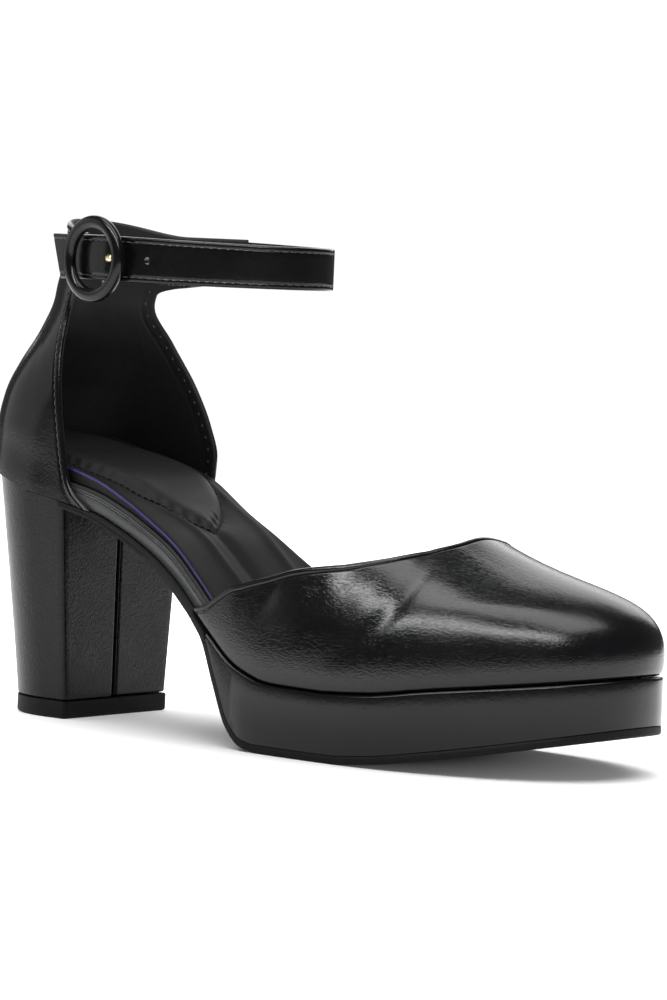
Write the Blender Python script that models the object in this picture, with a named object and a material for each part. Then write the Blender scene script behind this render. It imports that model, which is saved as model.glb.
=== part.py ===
"""Ankle strap pump, right shoe, empty and standing on its sole.

Metres. The origin is on the floor under the middle of the heel, +X points to
the toe, +Y to the medial side and +Z up.
"""
import math

import bmesh
import bpy
import numpy as np
from mathutils import Vector

# Lengths along the shoe
HEEL_REACH = 0.0285
HEEL_TO_BALL = 0.128
BALL_TO_TOE = 0.0795

# Widths of the last where it meets the sole
SEAT_WIDTH = 0.0590
WAIST_WIDTH = 0.0566
BALL_WIDTH = 0.0800

# Heights of the bed, the surface on which upper and insole stand
SEAT_HEIGHT = 0.0708
PLATFORM_HEIGHT = 0.0205
TOE_BED_RISE = 0.0100
TOE_SPRING = 0.0135

# Walls, layers and the clearance between pieces
GAP = 0.0003
UPPER_WALL = 0.0018
OUTSOLE_THICKNESS = 0.0025
WELT = 0.0006
RAND_HEIGHT = 0.0062
BOARD_THICKNESS = 0.0034
INSOLE_THICKNESS = 0.0022
INSOLE_INSET = 0.0016
PAD_THICKNESS = 0.0034

# Upper
COLLAR_RISE = 0.0782
COLLAR_FRONT_DROP = 0.0045
ANKLE_DEPTH = 0.0475
ANKLE_WIDTH = 0.0550
VAMP_THROAT = 0.0585
VAMP_HEIGHT = 0.0420

# Heel
HEEL_WIDTH_TOP = 0.0590
HEEL_WIDTH_BOTTOM = 0.0494
HEEL_SIDE_TOP = 0.0145
HEEL_SIDE_BOTTOM = 0.0085
HEEL_CORNER = 0.0006
HEEL_FRONT = 0.0146
HEEL_BACK_BOTTOM = 0.0178
HEEL_BACK_TOP = 0.0260
TOP_PIECE_THICKNESS = 0.0056
HEEL_LAP = 0.0008
HEEL_GROOVE = 0.0014
HEEL_GROOVE_WIDTH = 0.0018

# Strap and buckle
STRAP_WIDTH = 0.0139
STRAP_FRONT_WIDTH = 0.0130
STRAP_THICKNESS = 0.0020
STRAP_REACH = 0.0880
STRAP_START = 0.0240
STRAP_FRONT_DROP = 0.0008
STRAP_BELOW_COLLAR = 0.0005
TAIL_LENGTH = 0.0258
TAIL_SLANT = 0.0055
CHAPE_THICKNESS = 0.0011
CHAPE_LENGTH = 0.0120
CHAPE_WIDTH = 0.0123
BUCKLE_DIAMETER = 0.0266
BUCKLE_WINDOW = 0.0183
BUCKLE_THICKNESS = 0.0030
BUCKLE_DROP = 0.0004
BUCKLE_PLACE = 0.0282
BAR_DIAMETER = 0.0016
PRONG_DIAMETER = 0.0024
PUNCH_DIAMETER = 0.0022
PUNCH_PITCH = 0.0127
PRONG_PLACE = 0.0052


def along(station):
    """Length at a station: -1 heel back, 0 origin, 1 ball, 2 toe tip."""
    if station < 0:
        return station * HEEL_REACH
    if station <= 1:
        return station * HEEL_TO_BALL
    return HEEL_TO_BALL + (station - 1) * BALL_TO_TOE


def smooth_line(rows):
    """Function through (place, value) rows, smooth and without overshoot."""
    place = np.array([row[0] for row in rows], dtype=float)
    value = np.array([row[1] for row in rows], dtype=float)
    step = np.diff(place)
    rise = np.diff(value) / step
    slope = np.zeros(len(place))
    slope[0] = rise[0]
    slope[-1] = rise[-1]
    for i in range(1, len(place) - 1):
        if rise[i - 1] * rise[i] > 0:
            before = 2 * step[i] + step[i - 1]
            after = step[i] + 2 * step[i - 1]
            slope[i] = (before + after) / (before / rise[i - 1] + after / rise[i])

    def read(x):
        x = min(max(x, place[0]), place[-1])
        i = min(int(np.searchsorted(place, x, side="right")) - 1, len(step) - 1)
        t = (x - place[i]) / step[i]
        return float(
            value[i] * (1 + 2 * t) * (1 - t) ** 2
            + slope[i] * step[i] * t * (1 - t) ** 2
            + value[i + 1] * t * t * (3 - 2 * t)
            + slope[i + 1] * step[i] * t * t * (t - 1)
        )

    return read


# Plan of the last at the feather line, one row for each station.
# columns: station, width that the row follows, lateral share, medial share
OUTLINE = [
    (-0.86, SEAT_WIDTH, 0.240, 0.240),
    (-0.50, SEAT_WIDTH, 0.426, 0.422),
    (0.00, SEAT_WIDTH, 0.497, 0.490),
    (0.12, SEAT_WIDTH, 0.502, 0.498),
    (0.24, WAIST_WIDTH, 0.510, 0.495),
    (0.35, WAIST_WIDTH, 0.500, 0.440),
    (0.47, WAIST_WIDTH, 0.536, 0.430),
    (0.61, BALL_WIDTH, 0.430, 0.372),
    (0.78, BALL_WIDTH, 0.482, 0.436),
    (0.98, BALL_WIDTH, 0.503, 0.480),
    (1.23, BALL_WIDTH, 0.490, 0.498),
    (1.49, BALL_WIDTH, 0.433, 0.484),
    (1.71, BALL_WIDTH, 0.338, 0.428),
    (1.88, BALL_WIDTH, 0.206, 0.331),
    (1.973, BALL_WIDTH, 0.062, 0.206),
]
TOE_TIP_SHARE = 0.075

# Height of the bed as a share of the drop from the seat to the platform
BED_DROP = smooth_line([
    (-1.00, 1.135), (0.00, 1.000), (0.094, 0.962), (0.203, 0.903), (0.300, 0.802),
    (0.352, 0.735), (0.420, 0.645), (0.477, 0.553), (0.551, 0.412), (0.622, 0.272),
    (0.738, 0.076), (0.844, 0.008), (1.000, 0.000),
])
BED_TOE = smooth_line([(1.0, 0.0), (1.20, 0.10), (1.43, 0.36), (1.87, 0.80), (2.05, 1.0)])

# Thickness of the outsole as a share: thinner in the arch
SOLE_BODY = smooth_line([(0.0, 0.78), (0.60, 0.78), (0.82, 1.0), (2.0, 1.0)])

# How far the outsole still hugs the bed, 1, or has come down to the floor, 0
SOLE_LIFT = smooth_line([
    (0.56, 1.00), (0.602, 0.965), (0.656, 0.660), (0.709, 0.260), (0.758, 0.055), (0.800, 0.0),
])
SOLE_TOE = smooth_line([(1.08, 0.0), (1.25, 0.10), (1.43, 0.27), (1.87, 0.77), (2.05, 1.0)])

# Height of the insole board: rand in the open waist, thinner under the foot's front
BOARD_HEIGHT = smooth_line([
    (-1.0, 0.70), (-0.2, 0.76), (0.20, 1.00), (0.38, 1.06), (0.48, 1.28), (0.57, 1.28),
    (0.66, 0.90), (0.80, 0.0), (2.0, 0.0),
])


def station_of(x):
    """Station of a length along the shoe."""
    if x < 0:
        return x / HEEL_REACH
    if x <= HEEL_TO_BALL:
        return x / HEEL_TO_BALL
    return 1 + (x - HEEL_TO_BALL) / BALL_TO_TOE


def bed(x):
    """Height of the surface on which upper and insole stand."""
    s = station_of(x)
    drop = SEAT_HEIGHT - PLATFORM_HEIGHT
    return PLATFORM_HEIGHT + drop * BED_DROP(s) + TOE_BED_RISE * BED_TOE(s)


def steepness(height, x):
    """Length of a slope for one unit of length, at x."""
    reach = 0.0005
    slope = (height(x + reach) - height(x - reach)) / (2 * reach)
    return math.sqrt(1 + slope * slope)


def sole_under(x):
    """Height of the outsole's underside."""
    s = station_of(x)
    hugging = bed(x) - GAP - OUTSOLE_THICKNESS * SOLE_BODY(s) * steepness(bed, x)
    return hugging * SOLE_LIFT(s) + TOE_SPRING * SOLE_TOE(s)


def sole_top(x):
    """Height of the outsole's upper face."""
    thickness = OUTSOLE_THICKNESS * SOLE_BODY(station_of(x)) * steepness(sole_under, x)
    return min(sole_under(x) + thickness, bed(x) - GAP)


def board_top(x):
    """Height of the insole board's upper face at its edge."""
    share = BOARD_HEIGHT(station_of(x))
    return bed(x) + BOARD_THICKNESS + (RAND_HEIGHT - BOARD_THICKNESS) * share


def curve_through(points, per_span):
    """Dense closed curve through hand-placed points."""
    points = [np.array(p, dtype=float) for p in points]
    count = len(points)
    chord = [np.linalg.norm(points[(i + 1) % count] - points[i]) for i in range(count)]
    dense = []
    for i in range(count):
        a = points[i - 1]
        b = points[i]
        c = points[(i + 1) % count]
        d = points[(i + 2) % count]
        before, span, after = chord[i - 1], chord[i], chord[(i + 1) % count]
        leave = (b - a) / before * span + (c - b) / span * before
        leave = leave / (before + span) * span
        arrive = (c - b) / span * after + (d - c) / after * span
        arrive = arrive / (span + after) * span
        for k in range(per_span):
            t = k / per_span
            dense.append(
                b * (1 + 2 * t) * (1 - t) ** 2 + leave * t * (1 - t) ** 2
                + c * t * t * (3 - 2 * t) + arrive * t * t * (t - 1)
            )
    return np.array(dense)


def outline_curve():
    """Closed plan of the last, lateral side from back to toe, then medial side."""
    lateral = [(along(s), -width * share) for s, width, share, _ in OUTLINE]
    medial = [(along(s), width * share) for s, width, _, share in OUTLINE]
    toe = [(along(2), BALL_WIDTH * TOE_TIP_SHARE)]
    return curve_through([(-HEEL_REACH, 0.0)] + lateral + toe + medial[::-1], 24)


LAST = outline_curve()


def sides(offset):
    """Lateral and medial side of the outline moved outwards, each from back to toe."""
    ahead = np.roll(LAST, -1, axis=0) - np.roll(LAST, 1, axis=0)
    ahead /= np.linalg.norm(ahead, axis=1)[:, None]
    outwards = np.stack([ahead[:, 1], -ahead[:, 0]], axis=1)
    loop = LAST + outwards * offset
    back = int(np.argmin(loop[:, 0]))
    loop = np.roll(loop, -back, axis=0)
    toe = int(np.argmax(loop[:, 0]))
    lateral = loop[: toe + 1]
    medial = np.vstack([loop[toe:], loop[:1]])[::-1]
    return lateral, medial


def half_rings(offset, stations, start=None):
    """Points of both sides at the given shares of the length, from start to the toe."""
    lateral, medial = sides(offset)
    first = lateral[0, 0] if start is None else start
    last = lateral[-1, 0]
    rows = []
    for side in (lateral, medial):
        xs = [first + q * (last - first) for q in stations]
        ys = np.interp(xs, side[:, 0], side[:, 1])
        rows.append(list(zip(xs, ys)))
    return rows


def eased(count, back_round):
    """Shares from 0 to 1, closer together at the round toe and at a round back."""
    shares = [0.0]
    for i in range(1, count):
        t = i / count
        if back_round:
            shares.append(0.35 * t + 0.65 * (1 - math.cos(t * math.pi)) / 2)
        else:
            shares.append(0.45 * t + 0.55 * math.sin(t * math.pi / 2))
    return shares + [1.0]


def finish_object(name, bm, material):
    """Turn a bmesh into a named object with its material."""
    bmesh.ops.recalc_face_normals(bm, faces=bm.faces)
    mesh = bpy.data.meshes.new(name)
    bm.to_mesh(mesh)
    bm.free()
    mesh.materials.append(material)
    made = bpy.data.objects.new(name, mesh)
    bpy.context.scene.collection.objects.link(made)
    return made


def make_material(name, colour, roughness, metallic=0.0):
    """Principled material with the part's own colour."""
    material = bpy.data.materials.new(name)
    material.use_nodes = True
    shader = material.node_tree.nodes["Principled BSDF"]
    shader.inputs["Base Color"].default_value = (*colour, 1.0)
    shader.inputs["Roughness"].default_value = roughness
    shader.inputs["Metallic"].default_value = metallic
    return material


def stacked_body(name, rings, across, first_cap, last_cap, material):
    """Closed body from rings, each a pair of half rings, capped by crosswise rows.

    A cap function gives the height at x and at a share from -1 to 1 across.
    """
    bm = bmesh.new()
    loops = []
    for lateral, medial, height in rings:
        left = [bm.verts.new((x, y, height(x))) for x, y in lateral]
        right = []
        for i, (x, y) in enumerate(medial):
            meets = abs(y - lateral[i][1]) < 1e-6
            right.append(left[i] if meets else bm.verts.new((x, y, height(x))))
        loops.append((left, right))
    for (left_a, right_a), (left_b, right_b) in zip(loops, loops[1:]):
        for low, high in ((left_a, left_b), (right_a, right_b)):
            for i in range(len(low) - 1):
                bm.faces.new((low[i], low[i + 1], high[i + 1], high[i]))
        for end in (0, -1):
            if left_a[end] is not right_a[end]:
                bm.faces.new((left_a[end], right_a[end], right_b[end], left_b[end]))
    for (left, right), cap in ((loops[0], first_cap), (loops[-1], last_cap)):
        rows = []
        for a, b in zip(left, right):
            row = [a]
            for k in range(1, across):
                if a is b:
                    row.append(a)
                    continue
                t = k / across
                x, y = a.co.x, a.co.y + (b.co.y - a.co.y) * t
                row.append(bm.verts.new((x, y, cap(x, 2 * t - 1))))
            row.append(b)
            rows.append(row)
        for low, high in zip(rows, rows[1:]):
            for k in range(across):
                corners = []
                for corner in (low[k], low[k + 1], high[k + 1], high[k]):
                    if corner not in corners:
                        corners.append(corner)
                bm.faces.new(corners)
    return finish_object(name, bm, material)


SOLE_STATIONS = eased(44, False)
SOLE_EDGE = UPPER_WALL + WELT
SOLE_START = HEEL_FRONT + GAP


def make_outsole(material):
    """Thin sheet sole from the heel breast to the toe."""
    soft = 0.0006
    rings = [
        (*half_rings(SOLE_EDGE - soft, SOLE_STATIONS, SOLE_START), sole_under),
        (*half_rings(SOLE_EDGE, SOLE_STATIONS, SOLE_START), lambda x: sole_under(x) + soft),
        (*half_rings(SOLE_EDGE, SOLE_STATIONS, SOLE_START), sole_top),
    ]
    return stacked_body(
        "outsole", rings, 1, lambda x, c: sole_under(x), lambda x, c: sole_top(x), material
    )


def make_platform(material):
    """Covered platform between outsole and upper, tapering into the arch."""
    thinnest = 0.0006
    lip = 0.0010
    length = sides(SOLE_EDGE)[0][-1, 0] - SOLE_START
    stations = []
    for share in SOLE_STATIONS:
        x = SOLE_START + share * length
        if x > along(0.56) and bed(x) - sole_top(x) > thinnest + 2 * GAP:
            stations.append(share)

    def low(x):
        return sole_top(x) + GAP

    def high(x):
        return bed(x) - GAP

    def shoulder(x):
        return max(high(x) - lip, (low(x) + high(x)) / 2)

    rings = [
        (*half_rings(SOLE_EDGE, stations, SOLE_START), low),
        (*half_rings(SOLE_EDGE, stations, SOLE_START), shoulder),
        (*half_rings(SOLE_EDGE - lip, stations, SOLE_START), high),
    ]
    return stacked_body(
        "platform", rings, 1, lambda x, c: low(x), lambda x, c: high(x), material
    )


def make_board(material):
    """Covered insole board: its edge is the rand in the open waist."""
    stations = eased(48, True)
    soft = 0.0012
    rings = [
        (*half_rings(-GAP, stations), lambda x: bed(x)),
        (*half_rings(-GAP, stations), lambda x: board_top(x) - soft),
        (*half_rings(-GAP - soft, stations), board_top),
    ]
    return stacked_body(
        "insole_board", rings, 2, lambda x, c: bed(x), lambda x, c: board_top(x), material
    )


# Cupping of the insole: how much its edges rise over its middle
CUP = smooth_line([(-1.0, 0.0040), (0.0, 0.0034), (0.20, 0.0016), (0.45, 0.0), (2.0, 0.0)])


def insole_top(x, across):
    """Height of the insole's upper face."""
    return board_top(x) + GAP + INSOLE_THICKNESS + CUP(station_of(x)) * across * across


def make_insole(material):
    """Sock lining over the board, cupped round the heel."""
    stations = eased(44, True)
    soft = 0.0008
    rings = [
        (*half_rings(-INSOLE_INSET, stations), lambda x: board_top(x) + GAP),
        (*half_rings(-INSOLE_INSET, stations), lambda x: insole_top(x, 1) - soft),
        (*half_rings(-INSOLE_INSET - soft, stations), lambda x: insole_top(x, 1)),
    ]
    return stacked_body(
        "insole", rings, 6, lambda x, c: board_top(x) + GAP, insole_top, material
    )


# Half width of the heel pad as a share of the seat width, from its back to its tip
PAD_PLAN = [
    (-0.80, 0.130), (-0.62, 0.240), (-0.30, 0.330), (0.00, 0.375), (0.10, 0.380), (0.17, 0.372),
    (0.23, 0.345), (0.285, 0.290), (0.34, 0.205), (0.385, 0.115), (0.42, 0.030),
]


def make_heel_pad(material):
    """Raised padded island on the insole, rounded behind and pointed in front."""
    half = smooth_line(PAD_PLAN)
    count = 26
    soft = 0.0016
    thin_end = 0.15
    taper_length = 0.030
    low_side, high_side = [], []
    first, last = PAD_PLAN[0][0], PAD_PLAN[-1][0]
    for i in range(count + 1):
        station = first + (last - first) * i / count
        wide = half(station) * SEAT_WIDTH
        low_side.append((along(station), wide))
        high_side.append((along(station), max(wide - soft, soft / 4)))
    lateral, medial = sides(-INSOLE_INSET)

    def under(x, y):
        reach = np.interp(x, medial[:, 0], medial[:, 1]) - np.interp(x, lateral[:, 0], lateral[:, 1])
        return insole_top(x, 2 * y / reach) + 2 * GAP

    def over(x, y):
        taper = min(1.0, (along(last) - x) / taper_length + thin_end)
        return under(x, y) + PAD_THICKNESS * taper

    bm = bmesh.new()
    across = 8
    grids = []
    for side, height in ((low_side, under), (high_side, over)):
        grid = []
        for x, reach in side:
            row = []
            for k in range(across + 1):
                y = reach * (2 * k / across - 1)
                row.append(bm.verts.new((x, y, height(x, y))))
            grid.append(row)
        grids.append(grid)
    for grid in grids:
        for low, high in zip(grid, grid[1:]):
            for k in range(across):
                bm.faces.new((low[k], low[k + 1], high[k + 1], high[k]))
    bottom, top = grids
    for k in (0, across):
        for i in range(count):
            bm.faces.new((bottom[i][k], bottom[i + 1][k], top[i + 1][k], top[i][k]))
    for i in (0, count):
        for k in range(across):
            bm.faces.new((bottom[i][k], bottom[i][k + 1], top[i][k + 1], top[i][k]))
    return finish_object("heel_pad", bm, material)


def heel_section(share, lapped):
    """Plan of the heel at a share of its height: flat breast, straight sides, round back.

    The cover of a lapped breast lies over itself, with a groove beside the lap.
    """
    half = (HEEL_WIDTH_BOTTOM + (HEEL_WIDTH_TOP - HEEL_WIDTH_BOTTOM) * share) / 2
    back = HEEL_BACK_BOTTOM + (HEEL_BACK_TOP - HEEL_BACK_BOTTOM) * share ** 1.15
    flat_side = HEEL_SIDE_BOTTOM + (HEEL_SIDE_TOP - HEEL_SIDE_BOTTOM) * share
    straight = HEEL_FRONT - flat_side
    front = HEEL_FRONT - HEEL_LAP if lapped else HEEL_FRONT
    corner = HEEL_CORNER
    squareness = 2 / 2.12
    points = [
        (HEEL_FRONT, -corner), (HEEL_FRONT, corner - half), (HEEL_FRONT - corner, -half),
        (HEEL_FRONT - flat_side / 3, -half), (HEEL_FRONT - flat_side * 2 / 3, -half),
    ]
    for i in range(23):
        angle = math.pi * i / 22
        x = straight - (straight + back) * abs(math.sin(angle)) ** squareness
        y = -half * math.copysign(abs(math.cos(angle)) ** squareness, math.cos(angle))
        points.append((x, y))
    points += [
        (HEEL_FRONT - flat_side * 2 / 3, half), (HEEL_FRONT - flat_side / 3, half),
        (HEEL_FRONT - corner, half), (front, half - corner),
    ]
    if lapped:
        points += [
            (front, HEEL_GROOVE_WIDTH), (front - HEEL_GROOVE, HEEL_GROOVE_WIDTH - corner),
            (front - HEEL_GROOVE, 0.0),
        ]
    return points


def heel_top(x):
    """Height of the heel block's seat."""
    return bed(x) - 2 * GAP


def loft_sections(name, sections, material, first_pair=0, last_pair=0):
    """Closed loft through sections of equal point counts.

    With pairs given, the last face is laid crosswise between the points from
    first_pair to last_pair, so that it can curve.
    """
    bm = bmesh.new()
    loops = [[bm.verts.new(p) for p in section] for section in sections]
    for low, high in zip(loops, loops[1:]):
        for i in range(len(low)):
            j = (i + 1) % len(low)
            bm.faces.new((low[i], low[j], high[j], high[i]))
    bm.faces.new(loops[0])
    top = loops[-1]
    left, right = first_pair, last_pair
    while right - left > 2:
        bm.faces.new((top[left], top[left + 1], top[right - 1], top[right]))
        left += 1
        right -= 1
    if right - left == 2:
        bm.faces.new(top[left:right + 1])
    bm.faces.new(top[:first_pair + 1] + top[last_pair:] if last_pair else top)
    bmesh.ops.triangulate(bm, faces=[f for f in bm.faces if len(f.verts) > 4])
    return finish_object(name, bm, material)


def make_heel(material):
    """Leather covered block heel with the lapped seam down its breast."""
    bottom = TOP_PIECE_THICKNESS + GAP
    levels = 8
    sections = []
    for i in range(levels):
        share = i / (levels - 1)
        plan = heel_section(share, True)
        sections.append([(x, y, bottom + (heel_top(x) - bottom) * share) for x, y in plan])
    lap_points = 4
    return loft_sections("heel_block", sections, material, 2, len(plan) - 1 - lap_points)


def make_top_piece(material):
    """Rubber lift under the heel."""
    chamfer = 0.0005
    plan = heel_section(0.0, False)
    middle = (HEEL_FRONT - HEEL_BACK_BOTTOM) / 2
    sections = []
    for inset, z in ((chamfer, 0.0), (0.0, chamfer), (0.0, TOP_PIECE_THICKNESS)):
        size = 1 - inset / (HEEL_WIDTH_BOTTOM / 2)
        sections.append([(middle + (x - middle) * size, y * size, z) for x, y in plan])
    return loft_sections("top_piece", sections, material)


# The vamp: columns from the lateral rear corner round the toe to the medial one.
# columns: share of the way round (0 is the toe), topline length share from the ball
# to the throat, topline side share of the ball width, topline height share,
# share of the height that rises straight, outward bulge share of the height,
# reach of the crown, fall of the crown
VAMP = [
    (-1.00, -2.610, -0.419, 0.030, 0.40, 0.00, 0.50, 0.30),
    (-0.94, -2.330, -0.436, 0.180, 0.40, 0.01, 0.50, 0.30),
    (-0.87, -1.740, -0.450, 0.550, 0.40, 0.02, 0.50, 0.30),
    (-0.72, -0.710, -0.440, 0.815, 0.42, 0.03, 0.50, 0.30),
    (-0.56, 0.060, -0.398, 0.878, 0.45, 0.04, 0.53, 0.32),
    (-0.41, 0.550, -0.318, 0.912, 0.54, 0.05, 0.58, 0.35),
    (-0.27, 0.810, -0.210, 0.946, 0.64, 0.07, 0.63, 0.40),
    (-0.13, 0.970, -0.078, 0.984, 0.68, 0.10, 0.64, 0.43),
    (0.00, 1.000, 0.056, 1.020, 0.70, 0.12, 0.64, 0.45),
    (0.13, 0.960, 0.188, 0.992, 0.70, 0.12, 0.64, 0.47),
    (0.27, 0.800, 0.304, 0.950, 0.68, 0.10, 0.63, 0.45),
    (0.41, 0.500, 0.390, 0.905, 0.62, 0.08, 0.60, 0.38),
    (0.56, 0.040, 0.436, 0.866, 0.48, 0.05, 0.54, 0.32),
    (0.72, -0.710, 0.430, 0.812, 0.42, 0.03, 0.50, 0.30),
    (0.87, -1.740, 0.404, 0.540, 0.40, 0.02, 0.50, 0.30),
    (0.94, -2.330, 0.378, 0.180, 0.40, 0.01, 0.50, 0.30),
    (1.00, -2.610, 0.360, 0.030, 0.40, 0.00, 0.50, 0.30),
]
VAMP_REAR = 0.570
MIDDLE_LINE = 0.05


def vamp_feather(count):
    """Points at the foot of the vamp, evenly spaced on each side of the toe."""
    lateral, medial = sides(GAP)
    ways = []
    for side in (lateral, medial):
        front = side[side[:, 0] >= along(VAMP_REAR)]
        travelled = np.concatenate([[0], np.cumsum(np.linalg.norm(np.diff(front, axis=0), axis=1))])
        ways.append((front, travelled))
    points = []
    for i in range(2 * count + 1):
        share = i / count - 1
        front, travelled = ways[0] if share <= 0 else ways[1]
        goal = travelled[-1] * (1 - abs(share))
        x = np.interp(goal, travelled, front[:, 0])
        y = np.interp(goal, travelled, front[:, 1])
        points.append((share, float(x), float(y)))
    return points


def vamp_grid(count, rows):
    """Inner face of the vamp as a grid of points, one list for each column."""
    reads = [smooth_line([(row[0], row[k]) for row in VAMP]) for k in range(1, 8)]
    grid = []
    for share, x, y in vamp_feather(count):
        length, side, high, straight, bulge, reach, fall = [read(share) for read in reads]
        foot = Vector((x, y, bed(x)))
        top_x = HEEL_TO_BALL + length * (BALL_TO_TOE - VAMP_THROAT)
        top = Vector((top_x, side * BALL_WIDTH, bed(top_x) + high * VAMP_HEIGHT))
        rise = top.z - foot.z
        middle = Vector((min(x, top_x), MIDDLE_LINE * BALL_WIDTH, foot.z))
        outwards = (foot - middle).normalized()
        first = foot + Vector((0, 0, straight * rise)) + outwards * bulge * rise
        back = Vector((foot.x - top.x, foot.y - top.y, 0)) * reach
        second = top + back - Vector((0, 0, fall * rise))
        column = []
        for k in range(rows + 1):
            t = k / rows
            column.append(
                foot * (1 - t) ** 3 + first * 3 * t * (1 - t) ** 2
                + second * 3 * t * t * (1 - t) + top * t ** 3
            )
        grid.append(column)
    return grid


def moved_outwards(grid, distance):
    """Grid of points moved along the surface's own normal, away from the middle line."""
    points = np.array([[tuple(p) for p in column] for column in grid])
    round_way = np.gradient(points, axis=0)
    up_way = np.gradient(points, axis=1)
    normal = np.cross(round_way, up_way)
    normal /= np.linalg.norm(normal, axis=2)[:, :, None]
    middle = points.shape[0] // 2
    low = points.shape[1] // 3
    inside = points[:, low].mean(axis=0)
    if np.dot(normal[middle, low], points[middle, low] - inside) < 0:
        normal = -normal
    return points + normal * distance


def upper_wall(name, inner, material):
    """Wall of the upper over its inner face, with its whole foot standing on the bed."""
    outer = moved_outwards(inner, UPPER_WALL)
    for column in outer:
        column[0][2] = bed(column[0][0])
    return shell(name, inner, outer, material)


def shell(name, inner, outer, material):
    """Closed wall between two grids of points."""
    bm = bmesh.new()
    sheets = []
    for grid in (inner, outer):
        sheets.append([[bm.verts.new(tuple(p)) for p in column] for column in grid])
    columns, rows = len(sheets[0]), len(sheets[0][0])
    for sheet in sheets:
        for left, right in zip(sheet, sheet[1:]):
            for k in range(rows - 1):
                bm.faces.new((left[k], right[k], right[k + 1], left[k + 1]))
    inside, outside = sheets
    for k in (0, rows - 1):
        for i in range(columns - 1):
            bm.faces.new((inside[i][k], inside[i + 1][k], outside[i + 1][k], outside[i][k]))
    for i in (0, columns - 1):
        for k in range(rows - 1):
            bm.faces.new((inside[i][k], inside[i][k + 1], outside[i][k + 1], outside[i][k]))
    return finish_object(name, bm, material)


# The quarter: rows from the sole up to the collar.
# columns: share of the height, back from the origin as a share of the heel reach,
# depth share of the ankle over the seat, width share of the ankle over the seat,
# lateral front edge and medial front edge as stations
QUARTER = [
    (0.000, -1.000, 0.00, 0.00, 0.207, 0.211),
    (0.035, -1.002, 0.00, 0.00, 0.163, 0.209),
    (0.080, -1.004, 0.00, 0.02, 0.140, 0.208),
    (0.190, -0.995, 0.00, 0.04, 0.122, 0.212),
    (0.300, -0.968, 0.03, 0.10, 0.110, 0.184),
    (0.430, -0.738, 0.12, 0.30, 0.097, 0.134),
    (0.570, -0.470, 0.38, 0.58, 0.083, 0.078),
    (0.690, -0.336, 0.70, 0.84, 0.080, 0.046),
    (0.750, -0.312, 0.84, 0.93, 0.086, 0.054),
    (0.790, -0.285, 0.92, 0.97, 0.096, 0.095),
    (0.817, -0.268, 0.95, 1.00, 0.103, 0.180),
    (0.832, -0.258, 0.97, 1.00, 0.107, 0.300),
    (0.900, -0.225, 1.00, 1.00, 0.128, 0.300),
    (0.960, -0.210, 1.00, 1.00, 0.138, 0.300),
    (1.000, -0.205, 1.00, 1.00, 0.132, 0.296),
]
QUARTER_READS = [smooth_line([(row[0], row[k]) for row in QUARTER]) for k in range(1, 6)]

# How the points of a row are spread: evenly round the heel, then pulled to its front
EVEN_SHARE = 0.60
COLUMN_PULL = 3.0


def collar_top(x):
    """Height of the collar's edge, falling from the back to the front."""
    fall = min(max((x + HEEL_REACH * 0.3) / (HEEL_REACH * 0.9), 0.0), 1.0)
    ease = fall * fall * (3 - 2 * fall)
    return bed(-HEEL_REACH) + COLLAR_RISE - COLLAR_FRONT_DROP * ease


def seat_depth():
    """Length from the heel's back to where the seat is widest."""
    return 1.035 * HEEL_REACH


def ankle_point(share, x, side):
    """Point of the last round heel and ankle at a share of the height and a length x."""
    back, deep, wide, _, _ = [read(share) for read in QUARTER_READS]
    lateral, medial = sides(0.0)
    edge = lateral if side < 0 else medial
    stretch = 1 + deep * (ANKLE_DEPTH / seat_depth() - 1)
    narrow = 1 + wide * (ANKLE_WIDTH / SEAT_WIDTH - 1)
    at = -HEEL_REACH + (x - back * HEEL_REACH) / stretch
    return float(np.interp(at, edge[:, 0], edge[:, 1])) * narrow


def quarter_row(share, columns):
    """One row of the quarter's inner face, from the lateral to the medial front edge."""
    back, deep, wide, lateral_front, medial_front = [read(share) for read in QUARTER_READS]
    stretch = 1 + deep * (ANKLE_DEPTH / seat_depth() - 1)
    narrow = 1 + wide * (ANKLE_WIDTH / SEAT_WIDTH - 1)
    row = []
    lateral, medial = sides(0.0)
    ways = []
    for edge, front in ((lateral, lateral_front), (medial, medial_front)):
        plan = edge.copy()
        plan[:, 0] = back * HEEL_REACH + (plan[:, 0] + HEEL_REACH) * stretch
        plan[:, 1] = plan[:, 1] * narrow
        travelled = np.concatenate([[0], np.cumsum(np.linalg.norm(np.diff(plan, axis=0), axis=1))])
        reach = float(np.interp(along(front), plan[:, 0], travelled))
        ways.append((plan, travelled, reach))
    common = EVEN_SHARE * (SEAT_WIDTH + HEEL_REACH)
    for i in range(2 * columns + 1):
        c = i / columns - 1
        plan, travelled, reach = ways[0] if c <= 0 else ways[1]
        goal = abs(c) * common + abs(c) ** COLUMN_PULL * (reach - common)
        x = float(np.interp(goal, travelled, plan[:, 0]))
        y = float(np.interp(goal, travelled, plan[:, 1]))
        low = bed(x)
        row.append(Vector((x, y, low + share * (collar_top(x) - low))))
    return row


QUARTER_ROWS = [
    0.0, 0.035, 0.08, 0.14, 0.20, 0.27, 0.34, 0.41, 0.48, 0.55, 0.62, 0.68, 0.73, 0.77,
    0.80, 0.819, 0.832, 0.865, 0.91, 0.96, 1.0,
]


def make_quarter(material):
    """Back part of the upper, from the sole to the collar, open in front."""
    rows = [quarter_row(share, 17) for share in QUARTER_ROWS]
    inner = [list(column) for column in zip(*rows)]
    return upper_wall("quarter", inner, material)


def make_vamp(material):
    """Front part of the upper, round the toe, open at throat and waist."""
    return upper_wall("vamp", vamp_grid(26, 9), material)


# Height of the strap as a share of the quarter's, and the steps between its points
STRAP_LEVEL = 0.92
STRAP_STEP = 0.0036
FINE_STEP = 0.0016


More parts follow.
